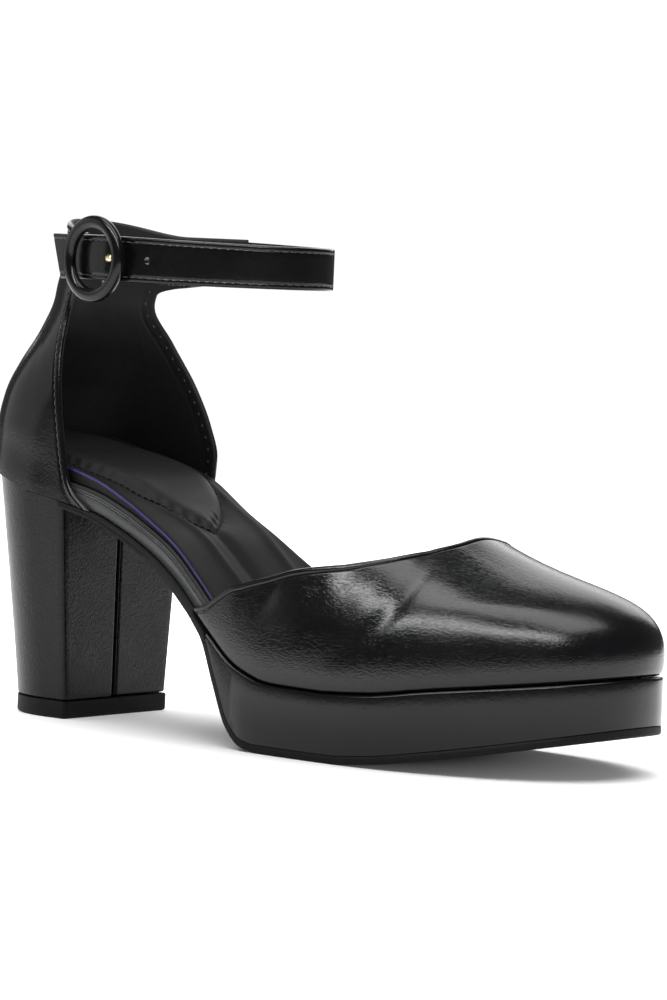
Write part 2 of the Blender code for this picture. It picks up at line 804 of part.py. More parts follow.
def strap_route():
    """Plan of the ankle where the strap lies, from the medial wing to the buckle side."""
    back, deep, wide = [read(STRAP_LEVEL) for read in QUARTER_READS[:3]]
    stretch = 1 + deep * (ANKLE_DEPTH / seat_depth() - 1)
    widest = back * HEEL_REACH + HEEL_REACH * stretch
    rim = STRAP_REACH - STRAP_THICKNESS - UPPER_WALL
    half = ankle_point(STRAP_LEVEL, widest, 1)
    other = -ankle_point(STRAP_LEVEL, widest, -1)
    points = []
    for i in range(40):
        x = STRAP_START + (widest - STRAP_START) * i / 40
        points.append((x, ankle_point(STRAP_LEVEL, x, 1)))
    for i in range(161):
        angle = math.pi * i / 160
        side = half if angle < math.pi / 2 else other
        points.append((widest + (rim - widest) * math.sin(angle), side * math.cos(angle)))
    last = 0.0
    for i in range(1, 90):
        x = widest + (last - widest) * i / 89
        points.append((x, ankle_point(STRAP_LEVEL, x, -1)))
    return np.array(points)


def route_frame(route):
    """Distance along a plan route and its outward normals."""
    step = np.diff(route, axis=0)
    travelled = np.concatenate([[0], np.cumsum(np.linalg.norm(step, axis=1))])
    ahead = np.gradient(route, travelled, axis=0)
    ahead /= np.linalg.norm(ahead, axis=1)[:, None]
    outwards = np.stack([ahead[:, 1], -ahead[:, 0]], axis=1)
    if outwards[len(route) // 3, 0] < 0:
        outwards = -outwards
    return travelled, outwards


ROUTE = strap_route()
ROUTE_TRAVEL, ROUTE_OUT = route_frame(ROUTE)
BUCKLE_TRAVEL = float(ROUTE_TRAVEL[-1] - np.interp(
    BUCKLE_PLACE, ROUTE[::-1, 0][:89], (ROUTE_TRAVEL[-1] - ROUTE_TRAVEL[::-1])[:89]
))


def strap_base():
    """Distance from the last to the strap's inner face where nothing lies between."""
    return UPPER_WALL + GAP


# How far the strap is lifted off the collar near the buckle, in shares of the
# lift over the bar; the place is the distance in front of the bar over the buckle's size
STRAP_LIFT = smooth_line([
    (-0.80, 0.78), (-0.42, 0.80), (-0.22, 0.90), (0.0, 1.0), (0.10, 1.0), (0.36, 0.45), (0.60, 0.05),
    (0.75, 0.0),
])


def strap_lift(ahead):
    """Lift of the strap over chape and bar, at a distance in front of the bar."""
    over_bar = BAR_DIAMETER + GAP
    return over_bar * STRAP_LIFT(ahead / BUCKLE_DIAMETER)


def route_point(travel, lift):
    """Plan point at a distance along the strap's route, raised outwards."""
    x, y = [float(np.interp(travel, ROUTE_TRAVEL, ROUTE[:, k])) for k in (0, 1)]
    a, b = [float(np.interp(travel, ROUTE_TRAVEL, ROUTE_OUT[:, k])) for k in (0, 1)]
    return Vector((x + a * lift, y + b * lift, 0.0)), Vector((a, b, 0.0)).normalized()


def strap_width(travel):
    """Width of the strap, a little narrower over the instep."""
    ease = math.sin(min(travel / BUCKLE_TRAVEL, 1.0) * math.pi) ** 2
    return STRAP_WIDTH + (STRAP_FRONT_WIDTH - STRAP_WIDTH) * ease


def strap_middle(travel):
    """Height of the strap's middle line."""
    fall = math.sin(min(travel / BUCKLE_TRAVEL, 1.0) * math.pi)
    top = collar_top(BUCKLE_PLACE) - STRAP_BELOW_COLLAR
    return top - STRAP_WIDTH / 2 - STRAP_FRONT_DROP * fall


def strap_lines():
    """Inner plan line of the strap with its outward normals, and where its tail leaves."""
    leaves = 0.30 * BUCKLE_DIAMETER
    line = []
    travel = 0.0
    while travel < BUCKLE_TRAVEL + leaves:
        ahead = BUCKLE_TRAVEL - travel
        point, out = route_point(travel, strap_base() + strap_lift(ahead))
        line.append((travel, point, out))
        travel += FINE_STEP if ahead < BUCKLE_DIAMETER * 2 / 3 else STRAP_STEP
    travel, point, out = line[-1]
    direction = (point - line[-2][1]).normalized()
    for i in range(1, 4):
        reach = (TAIL_LENGTH - leaves) * i / 3
        line.append((travel + reach, point + direction * reach, out))
    return line


def make_strap(material):
    """Ankle strap from the medial wing round the front, under the buckle, to its tail."""
    rows = 4
    inner, outer = [], []
    line = strap_lines()
    for i, (travel, point, out) in enumerate(line):
        low_column, high_column = [], []
        backwards = (line[i][1] - line[i - 1][1]).normalized() if i else Vector()
        slant = TAIL_SLANT if i == len(line) - 1 else 0.0
        for k in range(rows + 1):
            share = k / rows
            z = strap_middle(travel) + strap_width(travel) * (share - 0.5)
            spot = point - backwards * slant * (1 - share)
            low_column.append((spot.x, spot.y, z))
            high_column.append((
                spot.x + out.x * STRAP_THICKNESS, spot.y + out.y * STRAP_THICKNESS, z
            ))
        inner.append(low_column)
        outer.append(high_column)
    strap = shell("ankle_strap", inner, outer, material)
    punch_hole(strap, PRONG_PLACE, PRONG_DIAMETER + 3 * GAP)
    punch_hole(strap, PRONG_PLACE + PUNCH_PITCH, PUNCH_DIAMETER)
    return strap


def punch_hole(strap, ahead, diameter):
    """Cut a round hole through the strap at a distance in front of the bar."""
    travel = BUCKLE_TRAVEL - ahead
    point, out = route_point(travel, strap_base() + strap_lift(ahead) + STRAP_THICKNESS / 2)
    point.z = strap_middle(travel)
    bpy.ops.mesh.primitive_cylinder_add(
        vertices=12, radius=diameter / 2, depth=STRAP_THICKNESS * 4, location=point,
        rotation=out.to_track_quat("Z", "Y").to_euler(),
    )
    cutter = bpy.context.object
    cutter.name = "punch"
    cutter.hide_render = True
    cutter.display_type = "WIRE"
    cut = strap.modifiers.new("hole", "BOOLEAN")
    cut.operation = "DIFFERENCE"
    cut.object = cutter


def buckle_frame():
    """Middle of the bar on the last, direction towards the toe and outward normal."""
    point, out = route_point(BUCKLE_TRAVEL, 0.0)
    point.z = strap_middle(BUCKLE_TRAVEL)
    ahead = Vector((-out.y, out.x, 0.0))
    if ahead.x < 0:
        ahead = -ahead
    return point, ahead, out


def buckle_place(along_strap, up, outwards):
    """Point given in the buckle's own directions."""
    point, ahead, out = buckle_frame()
    return point + ahead * along_strap + out * outwards + Vector((0, 0, up))


def bar_level():
    """Distance from the last to the middle of the buckle's bar."""
    return UPPER_WALL + GAP + BAR_DIAMETER / 2


def ring_back():
    """Distance from the last to the back of the buckle ring, over the strap."""
    return strap_base() + strap_lift(-0.4 * BUCKLE_DIAMETER) + STRAP_THICKNESS + 3 * GAP


def make_buckle_ring(material):
    """Round covered frame with a wide softly domed face."""
    outer, inner = BUCKLE_DIAMETER / 2, BUCKLE_WINDOW / 2
    back = ring_back()
    front = back + BUCKLE_THICKNESS
    edge = 0.0007
    section = [
        (inner, back + edge), (inner + edge, back), (outer - edge, back), (outer, back + edge),
        (outer, front - 2 * edge), (outer - edge, front - 0.4 * edge),
        ((inner + outer) / 2, front), (inner + edge, front - 0.5 * edge), (inner, front - 2 * edge),
    ]
    sides_round = 36
    bm = bmesh.new()
    loops = []
    for i in range(sides_round):
        angle = 2 * math.pi * i / sides_round
        loops.append([
            bm.verts.new(buckle_place(r * math.cos(angle), r * math.sin(angle) - BUCKLE_DROP, n))
            for r, n in section
        ])
    for i in range(sides_round):
        here, there = loops[i], loops[(i + 1) % sides_round]
        for k in range(len(section)):
            j = (k + 1) % len(section)
            bm.faces.new((here[k], there[k], there[j], here[j]))
    return finish_object("buckle_ring", bm, material)


def tube_through(name, points, radii, sides_round, material):
    """Rod with round section through points, closed at both ends."""
    bm = bmesh.new()
    loops = []
    for i, point in enumerate(points):
        before, after = points[max(i - 1, 0)], points[min(i + 1, len(points) - 1)]
        ahead = (after - before).normalized()
        across = ahead.cross(Vector((0, 0, 1)))
        if across.length < 0.1:
            across = ahead.cross(Vector((1, 0, 0)))
        across.normalize()
        over = across.cross(ahead)
        loop = []
        for k in range(sides_round):
            angle = 2 * math.pi * k / sides_round
            shift = across * math.cos(angle) + over * math.sin(angle)
            loop.append(bm.verts.new(point + shift * radii[i]))
        loops.append(loop)
    for low, high in zip(loops, loops[1:]):
        for k in range(sides_round):
            j = (k + 1) % sides_round
            bm.faces.new((low[k], low[j], high[j], high[k]))
    bm.faces.new(loops[0])
    bm.faces.new(loops[-1])
    return finish_object(name, bm, material)


def make_buckle_bar(material):
    """Centre bar behind the ring, which chape and prong turn round."""
    half = (BUCKLE_DIAMETER + BUCKLE_WINDOW) / 4
    level = bar_level()
    points = [buckle_place(0.0, up, level) for up in (-half, half)]
    return tube_through("buckle_bar", points, [BAR_DIAMETER / 2] * 2, 10, material)


# Route of the prong from the bar out through the strap to the ring's edge.
# columns: share of the distance to its hole, share of the distance from the last to
# the ring's middle, share of its thickness
PRONG = [
    (0.365, 0.250, 0.80), (0.654, 0.238, 1.00), (0.885, 0.325, 1.00), (0.981, 0.500, 1.00),
    (1.038, 0.700, 1.00), (1.192, 0.862, 1.04), (1.423, 0.912, 1.04), (1.615, 0.912, 0.85),
    (1.692, 0.912, 0.45),
]


def make_prong(material):
    """Pale gold prong, out through the punched hole onto the ring's edge."""
    level = ring_back() + BUCKLE_THICKNESS / 2
    points = [buckle_place(ahead * PRONG_PLACE, 0.0, out * level) for ahead, out, _ in PRONG]
    radii = [share * PRONG_DIAMETER / 2 for _, _, share in PRONG]
    return tube_through("buckle_prong", points, radii, 10, material)


def make_chape(material):
    """Short strap end behind the buckle, sewn to the collar and turned round the bar."""
    inner, outer = [], []
    start = BAR_DIAMETER / 2 + GAP
    height = strap_middle(BUCKLE_TRAVEL)
    for i in range(7):
        travel = BUCKLE_TRAVEL + start + CHAPE_LENGTH * i / 6
        for rim, level in ((inner, strap_base()), (outer, strap_base() + CHAPE_THICKNESS)):
            point, _ = route_point(travel, level)
            rim.append([(point.x, point.y, height + CHAPE_WIDTH * k / 2) for k in (-1, 0, 1)])
    return shell("buckle_chape", inner, outer, material)


def clear_scene():
    """Start from an empty scene."""
    for item in list(bpy.data.objects):
        bpy.data.objects.remove(item, do_unlink=True)


def main():
    """Build every piece of the shoe."""
    clear_scene()
    black_leather = make_material("gloss_leather", (0.012, 0.012, 0.013), 0.18)
    heel_leather = make_material("heel_leather", (0.014, 0.014, 0.015), 0.30)
    lining = make_material("insole_leather", (0.020, 0.020, 0.021), 0.50)
    rubber = make_material("sole_rubber", (0.010, 0.010, 0.010), 0.62)
    gold = make_material("pale_gold", (0.80, 0.62, 0.40), 0.22, 1.0)
    make_outsole(rubber)
    make_platform(black_leather)
    make_board(black_leather)
    make_insole(lining)
    make_heel_pad(lining)
    make_heel(heel_leather)
    make_top_piece(rubber)
    make_vamp(black_leather)
    make_quarter(black_leather)
    make_strap(black_leather)
    make_chape(black_leather)
    make_buckle_ring(black_leather)
    make_buckle_bar(gold)
    make_prong(gold)


main()
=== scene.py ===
# %% [markdown]
# # Ankle strap pump
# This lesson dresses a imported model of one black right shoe: an ankle strap pump with a block
# heel, a thin platform, an open waist and a round covered buckle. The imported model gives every
# place and size. Each step below makes one piece of the shoe more finely, and gives it a finish.
# The origin is on the floor under the heel, +X points to the toe, +Y to the medial side.

import math

import bmesh
import bpy
import numpy as np
from mathutils import Matrix, Vector


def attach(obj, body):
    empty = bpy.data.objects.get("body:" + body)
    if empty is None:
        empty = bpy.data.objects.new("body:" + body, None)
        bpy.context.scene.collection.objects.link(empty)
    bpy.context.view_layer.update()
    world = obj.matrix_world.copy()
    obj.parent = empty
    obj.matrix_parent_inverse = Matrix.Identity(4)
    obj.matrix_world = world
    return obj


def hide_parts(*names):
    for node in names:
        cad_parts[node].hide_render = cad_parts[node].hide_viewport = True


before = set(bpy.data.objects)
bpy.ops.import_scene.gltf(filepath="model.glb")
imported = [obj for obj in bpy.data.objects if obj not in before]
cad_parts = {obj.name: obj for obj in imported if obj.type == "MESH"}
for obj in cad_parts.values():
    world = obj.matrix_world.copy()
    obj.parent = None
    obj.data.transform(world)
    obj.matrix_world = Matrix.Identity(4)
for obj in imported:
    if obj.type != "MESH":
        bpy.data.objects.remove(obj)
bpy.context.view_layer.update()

# %% [markdown]
# ## Sizes
# A shoe is built on a last, a solid form of the foot. Its lengths and widths drive everything
# else, so they stand here once, in metres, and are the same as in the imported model.

# %% Sizes of the last and its layers
HEEL_REACH, HEEL_TO_BALL, BALL_TO_TOE = 0.0285, 0.128, 0.0795
SEAT_WIDTH, WAIST_WIDTH, BALL_WIDTH = 0.0590, 0.0566, 0.0800
SEAT_HEIGHT, PLATFORM_HEIGHT, TOE_BED_RISE, TOE_SPRING = 0.0708, 0.0205, 0.0100, 0.0135
GAP, UPPER_WALL, OUTSOLE_THICKNESS, WELT = 0.0003, 0.0018, 0.0025, 0.0006
RAND_HEIGHT, BOARD_THICKNESS, INSOLE_THICKNESS = 0.0062, 0.0034, 0.0022
INSOLE_INSET, PAD_THICKNESS = 0.0016, 0.0034
SOLE_EDGE = UPPER_WALL + WELT
print("foot bed length", HEEL_REACH + HEEL_TO_BALL + BALL_TO_TOE)

# %% [markdown]
# ## A smooth line through a short table
# Shoe makers draw a curve through a few measured marks. A cubic that never overshoots its marks
# does the same here: it takes rows of place and value, and reads any place between them.


# %% Smooth lines
def smooth_line(rows):
    """Function through (place, value) rows, smooth and without overshoot."""
    place, value = np.array(rows, dtype=float).T
    step = np.diff(place)
    rise = np.diff(value) / step
    slope = np.zeros(len(place))
    slope[0], slope[-1] = rise[0], rise[-1]
    for i in range(1, len(place) - 1):
        if rise[i - 1] * rise[i] > 0:
            before = 2 * step[i] + step[i - 1]
            after = step[i] + 2 * step[i - 1]
            slope[i] = (before + after) / (before / rise[i - 1] + after / rise[i])

    def read(x):
        x = np.clip(x, place[0], place[-1])
        i = np.clip(np.searchsorted(place, x, side="right") - 1, 0, len(step) - 1)
        t = (x - place[i]) / step[i]
        return (
            value[i] * (1 + 2 * t) * (1 - t) ** 2 + slope[i] * step[i] * t * (1 - t) ** 2
            + value[i + 1] * t * t * (3 - 2 * t) + slope[i + 1] * step[i] * t * t * (t - 1)
        )

    return read


def along(station):
    """Length at a station: -1 heel back, 0 origin, 1 ball, 2 toe tip."""
    station = np.asarray(station, dtype=float)
    front = HEEL_TO_BALL + (station - 1) * BALL_TO_TOE
    return np.where(station < 0, station * HEEL_REACH, np.where(station <= 1, station * HEEL_TO_BALL, front))


def station_of(x):
    """Station of a length along the shoe."""
    x = np.asarray(x, dtype=float)
    front = 1 + (x - HEEL_TO_BALL) / BALL_TO_TOE
    return np.where(x < 0, x / HEEL_REACH, np.where(x <= HEEL_TO_BALL, x / HEEL_TO_BALL, front))


print("ball at", float(along(1.0)))

# %% [markdown]
# ## Plan of the last
# Seen from above, the last is wide at the ball, narrow at the waist and rounded at the heel.
# The table gives its half width on each side as a share of the nearest named width. A closed
# curve through the marks is what every layer of the sole follows, moved in or out a little.

# %% Plan of the last
OUTLINE = [
    (-0.86, SEAT_WIDTH, 0.240, 0.240), (-0.50, SEAT_WIDTH, 0.426, 0.422),
    (0.00, SEAT_WIDTH, 0.497, 0.490), (0.12, SEAT_WIDTH, 0.502, 0.498),
    (0.24, WAIST_WIDTH, 0.510, 0.495), (0.35, WAIST_WIDTH, 0.500, 0.440),
    (0.47, WAIST_WIDTH, 0.536, 0.430), (0.61, BALL_WIDTH, 0.430, 0.372),
    (0.78, BALL_WIDTH, 0.482, 0.436), (0.98, BALL_WIDTH, 0.503, 0.480),
    (1.23, BALL_WIDTH, 0.490, 0.498), (1.49, BALL_WIDTH, 0.433, 0.484),
    (1.71, BALL_WIDTH, 0.338, 0.428), (1.88, BALL_WIDTH, 0.206, 0.331),
    (1.973, BALL_WIDTH, 0.062, 0.206),
]
TOE_TIP_SHARE = 0.075


def curve_through(points, per_span):
    """Dense closed curve through given points."""
    points = [np.array(p, dtype=float) for p in points]
    count = len(points)
    chord = [np.linalg.norm(points[(i + 1) % count] - points[i]) for i in range(count)]
    dense = []
    for i in range(count):
        a, b, c, d = points[i - 1], points[i], points[(i + 1) % count], points[(i + 2) % count]
        before, span, after = chord[i - 1], chord[i], chord[(i + 1) % count]
        leave = ((b - a) / before * span + (c - b) / span * before) / (before + span) * span
        arrive = ((c - b) / span * after + (d - c) / after * span) / (span + after) * span
        for k in range(per_span):
            t = k / per_span
            dense.append(
                b * (1 + 2 * t) * (1 - t) ** 2 + leave * t * (1 - t) ** 2
                + c * t * t * (3 - 2 * t) + arrive * t * t * (t - 1)
            )
    return np.array(dense)


lateral_marks = [(along(s), -width * share) for s, width, share, _ in OUTLINE]
medial_marks = [(along(s), width * share) for s, width, _, share in OUTLINE]
toe_mark = [(along(2), BALL_WIDTH * TOE_TIP_SHARE)]
LAST = curve_through([(-HEEL_REACH, 0.0)] + lateral_marks + toe_mark + medial_marks[::-1], 24)


def sides(offset):
    """Lateral and medial side of the outline moved outwards, each from back to toe."""
    ahead = np.roll(LAST, -1, axis=0) - np.roll(LAST, 1, axis=0)
    ahead /= np.linalg.norm(ahead, axis=1)[:, None]
    loop = LAST + np.stack([ahead[:, 1], -ahead[:, 0]], axis=1) * offset
    loop = np.roll(loop, -int(np.argmin(loop[:, 0])), axis=0)
    toe = int(np.argmax(loop[:, 0]))
    return loop[: toe + 1], np.vstack([loop[toe:], loop[:1]])[::-1]


print("outline points", len(LAST))

# %% [markdown]
# ## Heights along the shoe
# From the side, the foot stands on a bed that drops from the heel seat through a steep arch to
# the platform, and rises again at the toe. Sole, platform, board and insole are all measured
# from this one line, so they stay parallel.

# %% Heights along the shoe
BED_DROP = smooth_line([
    (-1.00, 1.135), (0.00, 1.000), (0.094, 0.962), (0.203, 0.903), (0.300, 0.802),
    (0.352, 0.735), (0.420, 0.645), (0.477, 0.553), (0.551, 0.412), (0.622, 0.272),
    (0.738, 0.076), (0.844, 0.008), (1.000, 0.000),
])
BED_TOE = smooth_line([(1.0, 0.0), (1.20, 0.10), (1.43, 0.36), (1.87, 0.80), (2.05, 1.0)])
SOLE_BODY = smooth_line([(0.0, 0.78), (0.60, 0.78), (0.82, 1.0), (2.0, 1.0)])
SOLE_LIFT = smooth_line([
    (0.56, 1.00), (0.602, 0.965), (0.656, 0.660), (0.709, 0.260), (0.758, 0.055), (0.800, 0.0),
])
SOLE_TOE = smooth_line([(1.08, 0.0), (1.25, 0.10), (1.43, 0.27), (1.87, 0.77), (2.05, 1.0)])
BOARD_HEIGHT = smooth_line([
    (-1.0, 0.70), (-0.2, 0.76), (0.20, 1.00), (0.38, 1.06), (0.48, 1.28), (0.57, 1.28),
    (0.66, 0.90), (0.80, 0.0), (2.0, 0.0),
])
CUP = smooth_line([(-1.0, 0.0040), (0.0, 0.0034), (0.20, 0.0016), (0.45, 0.0), (2.0, 0.0)])


def bed(x):
    """Height of the surface on which upper and insole stand."""
    s = station_of(x)
    return PLATFORM_HEIGHT + (SEAT_HEIGHT - PLATFORM_HEIGHT) * BED_DROP(s) + TOE_BED_RISE * BED_TOE(s)


def steepness(height, x):
    """Length of a slope for one unit of length, at x."""
    slope = (height(x + 0.0005) - height(x - 0.0005)) / 0.001
    return np.sqrt(1 + slope * slope)


def sole_under(x):
    """Height of the outsole's underside."""
    s = station_of(x)
    hugging = bed(x) - GAP - OUTSOLE_THICKNESS * SOLE_BODY(s) * steepness(bed, x)
    return hugging * SOLE_LIFT(s) + TOE_SPRING * SOLE_TOE(s)


def sole_top(x):
    """Height of the outsole's upper face."""
    thickness = OUTSOLE_THICKNESS * SOLE_BODY(station_of(x)) * steepness(sole_under, x)
    return np.minimum(sole_under(x) + thickness, bed(x) - GAP)


def board_top(x):
    """Height of the insole board's upper face at its edge."""
    return bed(x) + BOARD_THICKNESS + (RAND_HEIGHT - BOARD_THICKNESS) * BOARD_HEIGHT(station_of(x))


def insole_top(x, across):
    """Height of the insole's upper face, cupped round the heel."""
    return board_top(x) + GAP + INSOLE_THICKNESS + CUP(station_of(x)) * across * across


print("bed at the heel seat", round(float(bed(0.0)), 4), "and at the ball", round(float(bed(HEEL_TO_BALL)), 4))

# %% [markdown]
# ## Putting meshes together
# Every piece is a closed skin. A piece can be made from a list of points and faces, with a
# number for the finish of each face. Points that meet are welded, and edges sharper than an
# angle stay crisp while the rest is shaded smooth. This is quicker than modelling by hand, and
# it repeats exactly.


# %% Mesh helpers
def add_object(name, data):
    """Object with the given data, in the scene."""
    thing = bpy.data.objects.new(name, data)
    bpy.context.scene.collection.objects.link(thing)
    return thing


def make_piece(name, points, faces, paint, finishes, stands_for=(), crisp=50):
    """Closed smooth mesh that rides on the shoe and stands for the named nodes."""
    bm = bmesh.new()
    spots = [bm.verts.new(p) for p in points]
    for corners, finish in zip(faces, paint):
        face = bm.faces.new([spots[c] for c in corners])
        face.material_index = finish
        face.smooth = True
    bmesh.ops.remove_doubles(bm, verts=bm.verts, dist=3e-6)
    bmesh.ops.recalc_face_normals(bm, faces=bm.faces)
    mesh = bpy.data.meshes.new(name)
    bm.to_mesh(mesh)
    bm.free()
    for finish in finishes:
        mesh.materials.append(finish)
    mesh.set_sharp_from_angle(angle=math.radians(crisp))
    piece = add_object(name, mesh)
    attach(piece, "root")
    if stands_for:
        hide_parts(*stands_for)
    print(name, len(mesh.polygons), "faces")
    return piece


def sheet_faces(columns, rows, first=0, closed=False):
    """Quads of a grid of points stored column by column."""
    faces = []
    for i in range(columns if closed else columns - 1):
        here, there = first + i * rows, first + (i + 1) % columns * rows
        faces += [(here + k, there + k, there + k + 1, here + k + 1) for k in range(rows - 1)]
    return faces


def travelled(line):
    """Distance from the start of a line of points to each of them."""
    return np.concatenate([[0], np.cumsum(np.linalg.norm(np.diff(line, axis=0), axis=1))])


# %% [markdown]
# ## Surface effects shared by the leathers
# All the leathers of this shoe show the same two things at different strengths: a fine grain of
# pores, and longer crinkles where the hide was bent or stretched. Both are built once as a node
# group that puts out a height for a Bump node and a slow variation for the gloss. A painted
# image could do it too, but nodes stay sharp at any distance.


# %% The grain group
def put(tree, kind, x, y, values=None, **settings):
    """Node of a kind at a place, with its settings and the values of its sockets."""
    node = tree.nodes.new(kind)
    node.location = (x, y)
    for name, value in settings.items():
        setattr(node, name, value)
    for socket, value in (values or {}).items():
        node.inputs[socket].default_value = value
    return node


def join(tree, *lines):
    """Links between nodes, each given as (node, output, node, input)."""
    for giver, output, taker, socket in lines:
        tree.links.new(giver.outputs[output], taker.inputs[socket])


def new_group(name, inputs, outputs):
    """Node group with named sockets, and its own input and output nodes."""
    group = bpy.data.node_groups.new(name, "ShaderNodeTree")
    for socket, value in inputs.items():
        kind = "NodeSocketVector" if isinstance(value, tuple) else "NodeSocketFloat"
        group.interface.new_socket(name=socket, in_out="INPUT", socket_type=kind).default_value = value
    for socket in outputs:
        group.interface.new_socket(name=socket, in_out="OUTPUT", socket_type="NodeSocketFloat")
    return group, put(group, "NodeGroupInput", -1200, 0), put(group, "NodeGroupOutput", 800, 0)


grain_group, g_in, g_out = new_group(
    "hide_grain",
    {"Pore Scale": 1500.0, "Pore Height": 0.4, "Crinkle Scale": 500.0, "Crinkle Height": 0.6, "Stretch": (1, 1, 1)},
    ("Height", "Patches"),
)
g_coord = put(grain_group, "ShaderNodeTexCoord", -1200, 300)
g_map = put(grain_group, "ShaderNodeVectorMath", -1000, 200, operation="MULTIPLY")
g_warp = put(grain_group, "ShaderNodeTexNoise", -800, 500, {"Scale": 120.0, "Detail": 2.0})
g_push = put(grain_group, "ShaderNodeVectorMath", -600, 400, {1: (0.0035,) * 3}, operation="MULTIPLY_ADD")
g_fold = put(grain_group, "ShaderNodeTexNoise", -400, 400, {"Detail": 2.0})
g_half = put(grain_group, "ShaderNodeMath", -300, 550, {1: 0.5}, operation="SUBTRACT")
g_sides = put(grain_group, "ShaderNodeMath", -250, 250, operation="ABSOLUTE")
g_soft = put(grain_group, "ShaderNodeMapRange", -200, 400, {"From Max": 0.10}, interpolation_type="SMOOTHSTEP")
g_crinkle = put(grain_group, "ShaderNodeMath", 0, 400, operation="MULTIPLY")
g_pore = put(grain_group, "ShaderNodeTexNoise", -400, 0, {"Detail": 3.0})
g_add = put(grain_group, "ShaderNodeMath", 300, 200, operation="MULTIPLY_ADD")
g_slow = put(grain_group, "ShaderNodeTexNoise", -400, -300, {"Scale": 70.0, "Detail": 4.0})
join(
    grain_group,
    (g_coord, "Object", g_map, 0), (g_in, "Stretch", g_map, 1), (g_map, 0, g_warp, "Vector"),
    (g_warp, "Color", g_push, 0), (g_map, 0, g_push, 2), (g_push, 0, g_fold, "Vector"),
    (g_in, "Crinkle Scale", g_fold, "Scale"), (g_fold, "Fac", g_half, 0), (g_half, 0, g_sides, 0),
    (g_sides, 0, g_soft, "Value"), (g_soft, "Result", g_crinkle, 0), (g_in, "Crinkle Height", g_crinkle, 1),
    (g_coord, "Object", g_pore, "Vector"), (g_in, "Pore Scale", g_pore, "Scale"), (g_pore, "Fac", g_add, 0),
    (g_in, "Pore Height", g_add, 1), (g_crinkle, 0, g_add, 2), (g_add, 0, g_out, "Height"),
    (g_coord, "Object", g_slow, "Vector"), (g_slow, "Fac", g_out, "Patches"),
)
print("group", grain_group.name, "with", len(grain_group.nodes), "nodes")

# %% [markdown]
# ## Dust and wear
# Even a new shoe has a trace of dust and of polish. A second group turns one noise into a thin
# mask: it makes the leather a touch paler in small spots and along faint streaks.

# %% The wear group
wear_group, w_in, w_out = new_group("dust_and_wear", {"Scale": 260.0, "Amount": 0.2}, ("Mask",))
w_coord = put(wear_group, "ShaderNodeTexCoord", -900, 200)
w_noise = put(wear_group, "ShaderNodeTexNoise", -600, 200, {"Detail": 8.0, "Roughness": 0.68})
w_range = put(
    wear_group, "ShaderNodeMapRange", -300, 200, {"From Min": 0.56, "From Max": 0.80},
    interpolation_type="SMOOTHSTEP",
)
w_share = put(wear_group, "ShaderNodeMath", 0, 100, operation="MULTIPLY")
join(
    wear_group,
    (w_coord, "Object", w_noise, "Vector"), (w_in, "Scale", w_noise, "Scale"), (w_noise, "Fac", w_range, "Value"),
    (w_range, "Result", w_share, 0), (w_in, "Amount", w_share, 1), (w_share, 0, w_out, "Mask"),
)
print("group", wear_group.name, "with", len(wear_group.nodes), "nodes")

# %% [markdown]
# ## Leather finishes
# The upper is smooth polished leather with a strong gloss, the heel cover is the same hide with
# its grain showing, and linings are matt. One helper makes them all, with its own grain, gloss
# and depth of bump. The shader's own sockets hold the values that are the same all over.


# %% Leather finishes
def new_material(name, values):
    """Material, its node tree and its shader, with the shader's constants."""
    material = bpy.data.materials.new(name)
    material.use_nodes = True
    shader = material.node_tree.nodes["Principled BSDF"]
    for socket, value in values.items():
        shader.inputs[socket].default_value = value
    return material, material.node_tree, shader


def worn_colour(tree, shader, colour, pale):
    """Base colour that turns paler where the wear mask is."""
    wear = put(tree, "ShaderNodeGroup", -700, 300, node_tree=wear_group)
    mix = put(tree, "ShaderNodeMix", -300, 300, {"A": (*colour, 1), "B": (*pale, 1)}, data_type="RGBA")
    join(tree, (wear, "Mask", mix, "Factor"), (mix, "Result", shader, "Base Color"))


def hide(name, colour, pale, rough, spread, pores, crinkles, depth, gloss, stretch=(1, 1, 1)):
    """Leather with grain in its bump and its gloss, and dust in its colour.

    pores and crinkles are pairs of scale and height.
    """
    material, tree, shader = new_material(name, {"Specular IOR Level": gloss})
    grain = put(tree, "ShaderNodeGroup", -700, -200, node_tree=grain_group)
    grain.inputs["Pore Scale"].default_value, grain.inputs["Pore Height"].default_value = pores
    grain.inputs["Crinkle Scale"].default_value, grain.inputs["Crinkle Height"].default_value = crinkles
    grain.inputs["Stretch"].default_value = stretch
    bump = put(tree, "ShaderNodeBump", -300, -300, {"Strength": 1.0, "Distance": depth})
    dull = put(tree, "ShaderNodeMapRange", -400, 0, {
        "From Min": 0.3, "From Max": 0.7, "To Min": rough - spread, "To Max": rough + spread,
    })
    join(
        tree,
        (grain, "Height", bump, "Height"), (bump, "Normal", shader, "Normal"),
        (grain, "Patches", dull, "Value"), (dull, "Result", shader, "Roughness"),
    )
    worn_colour(tree, shader, colour, pale)
    return material


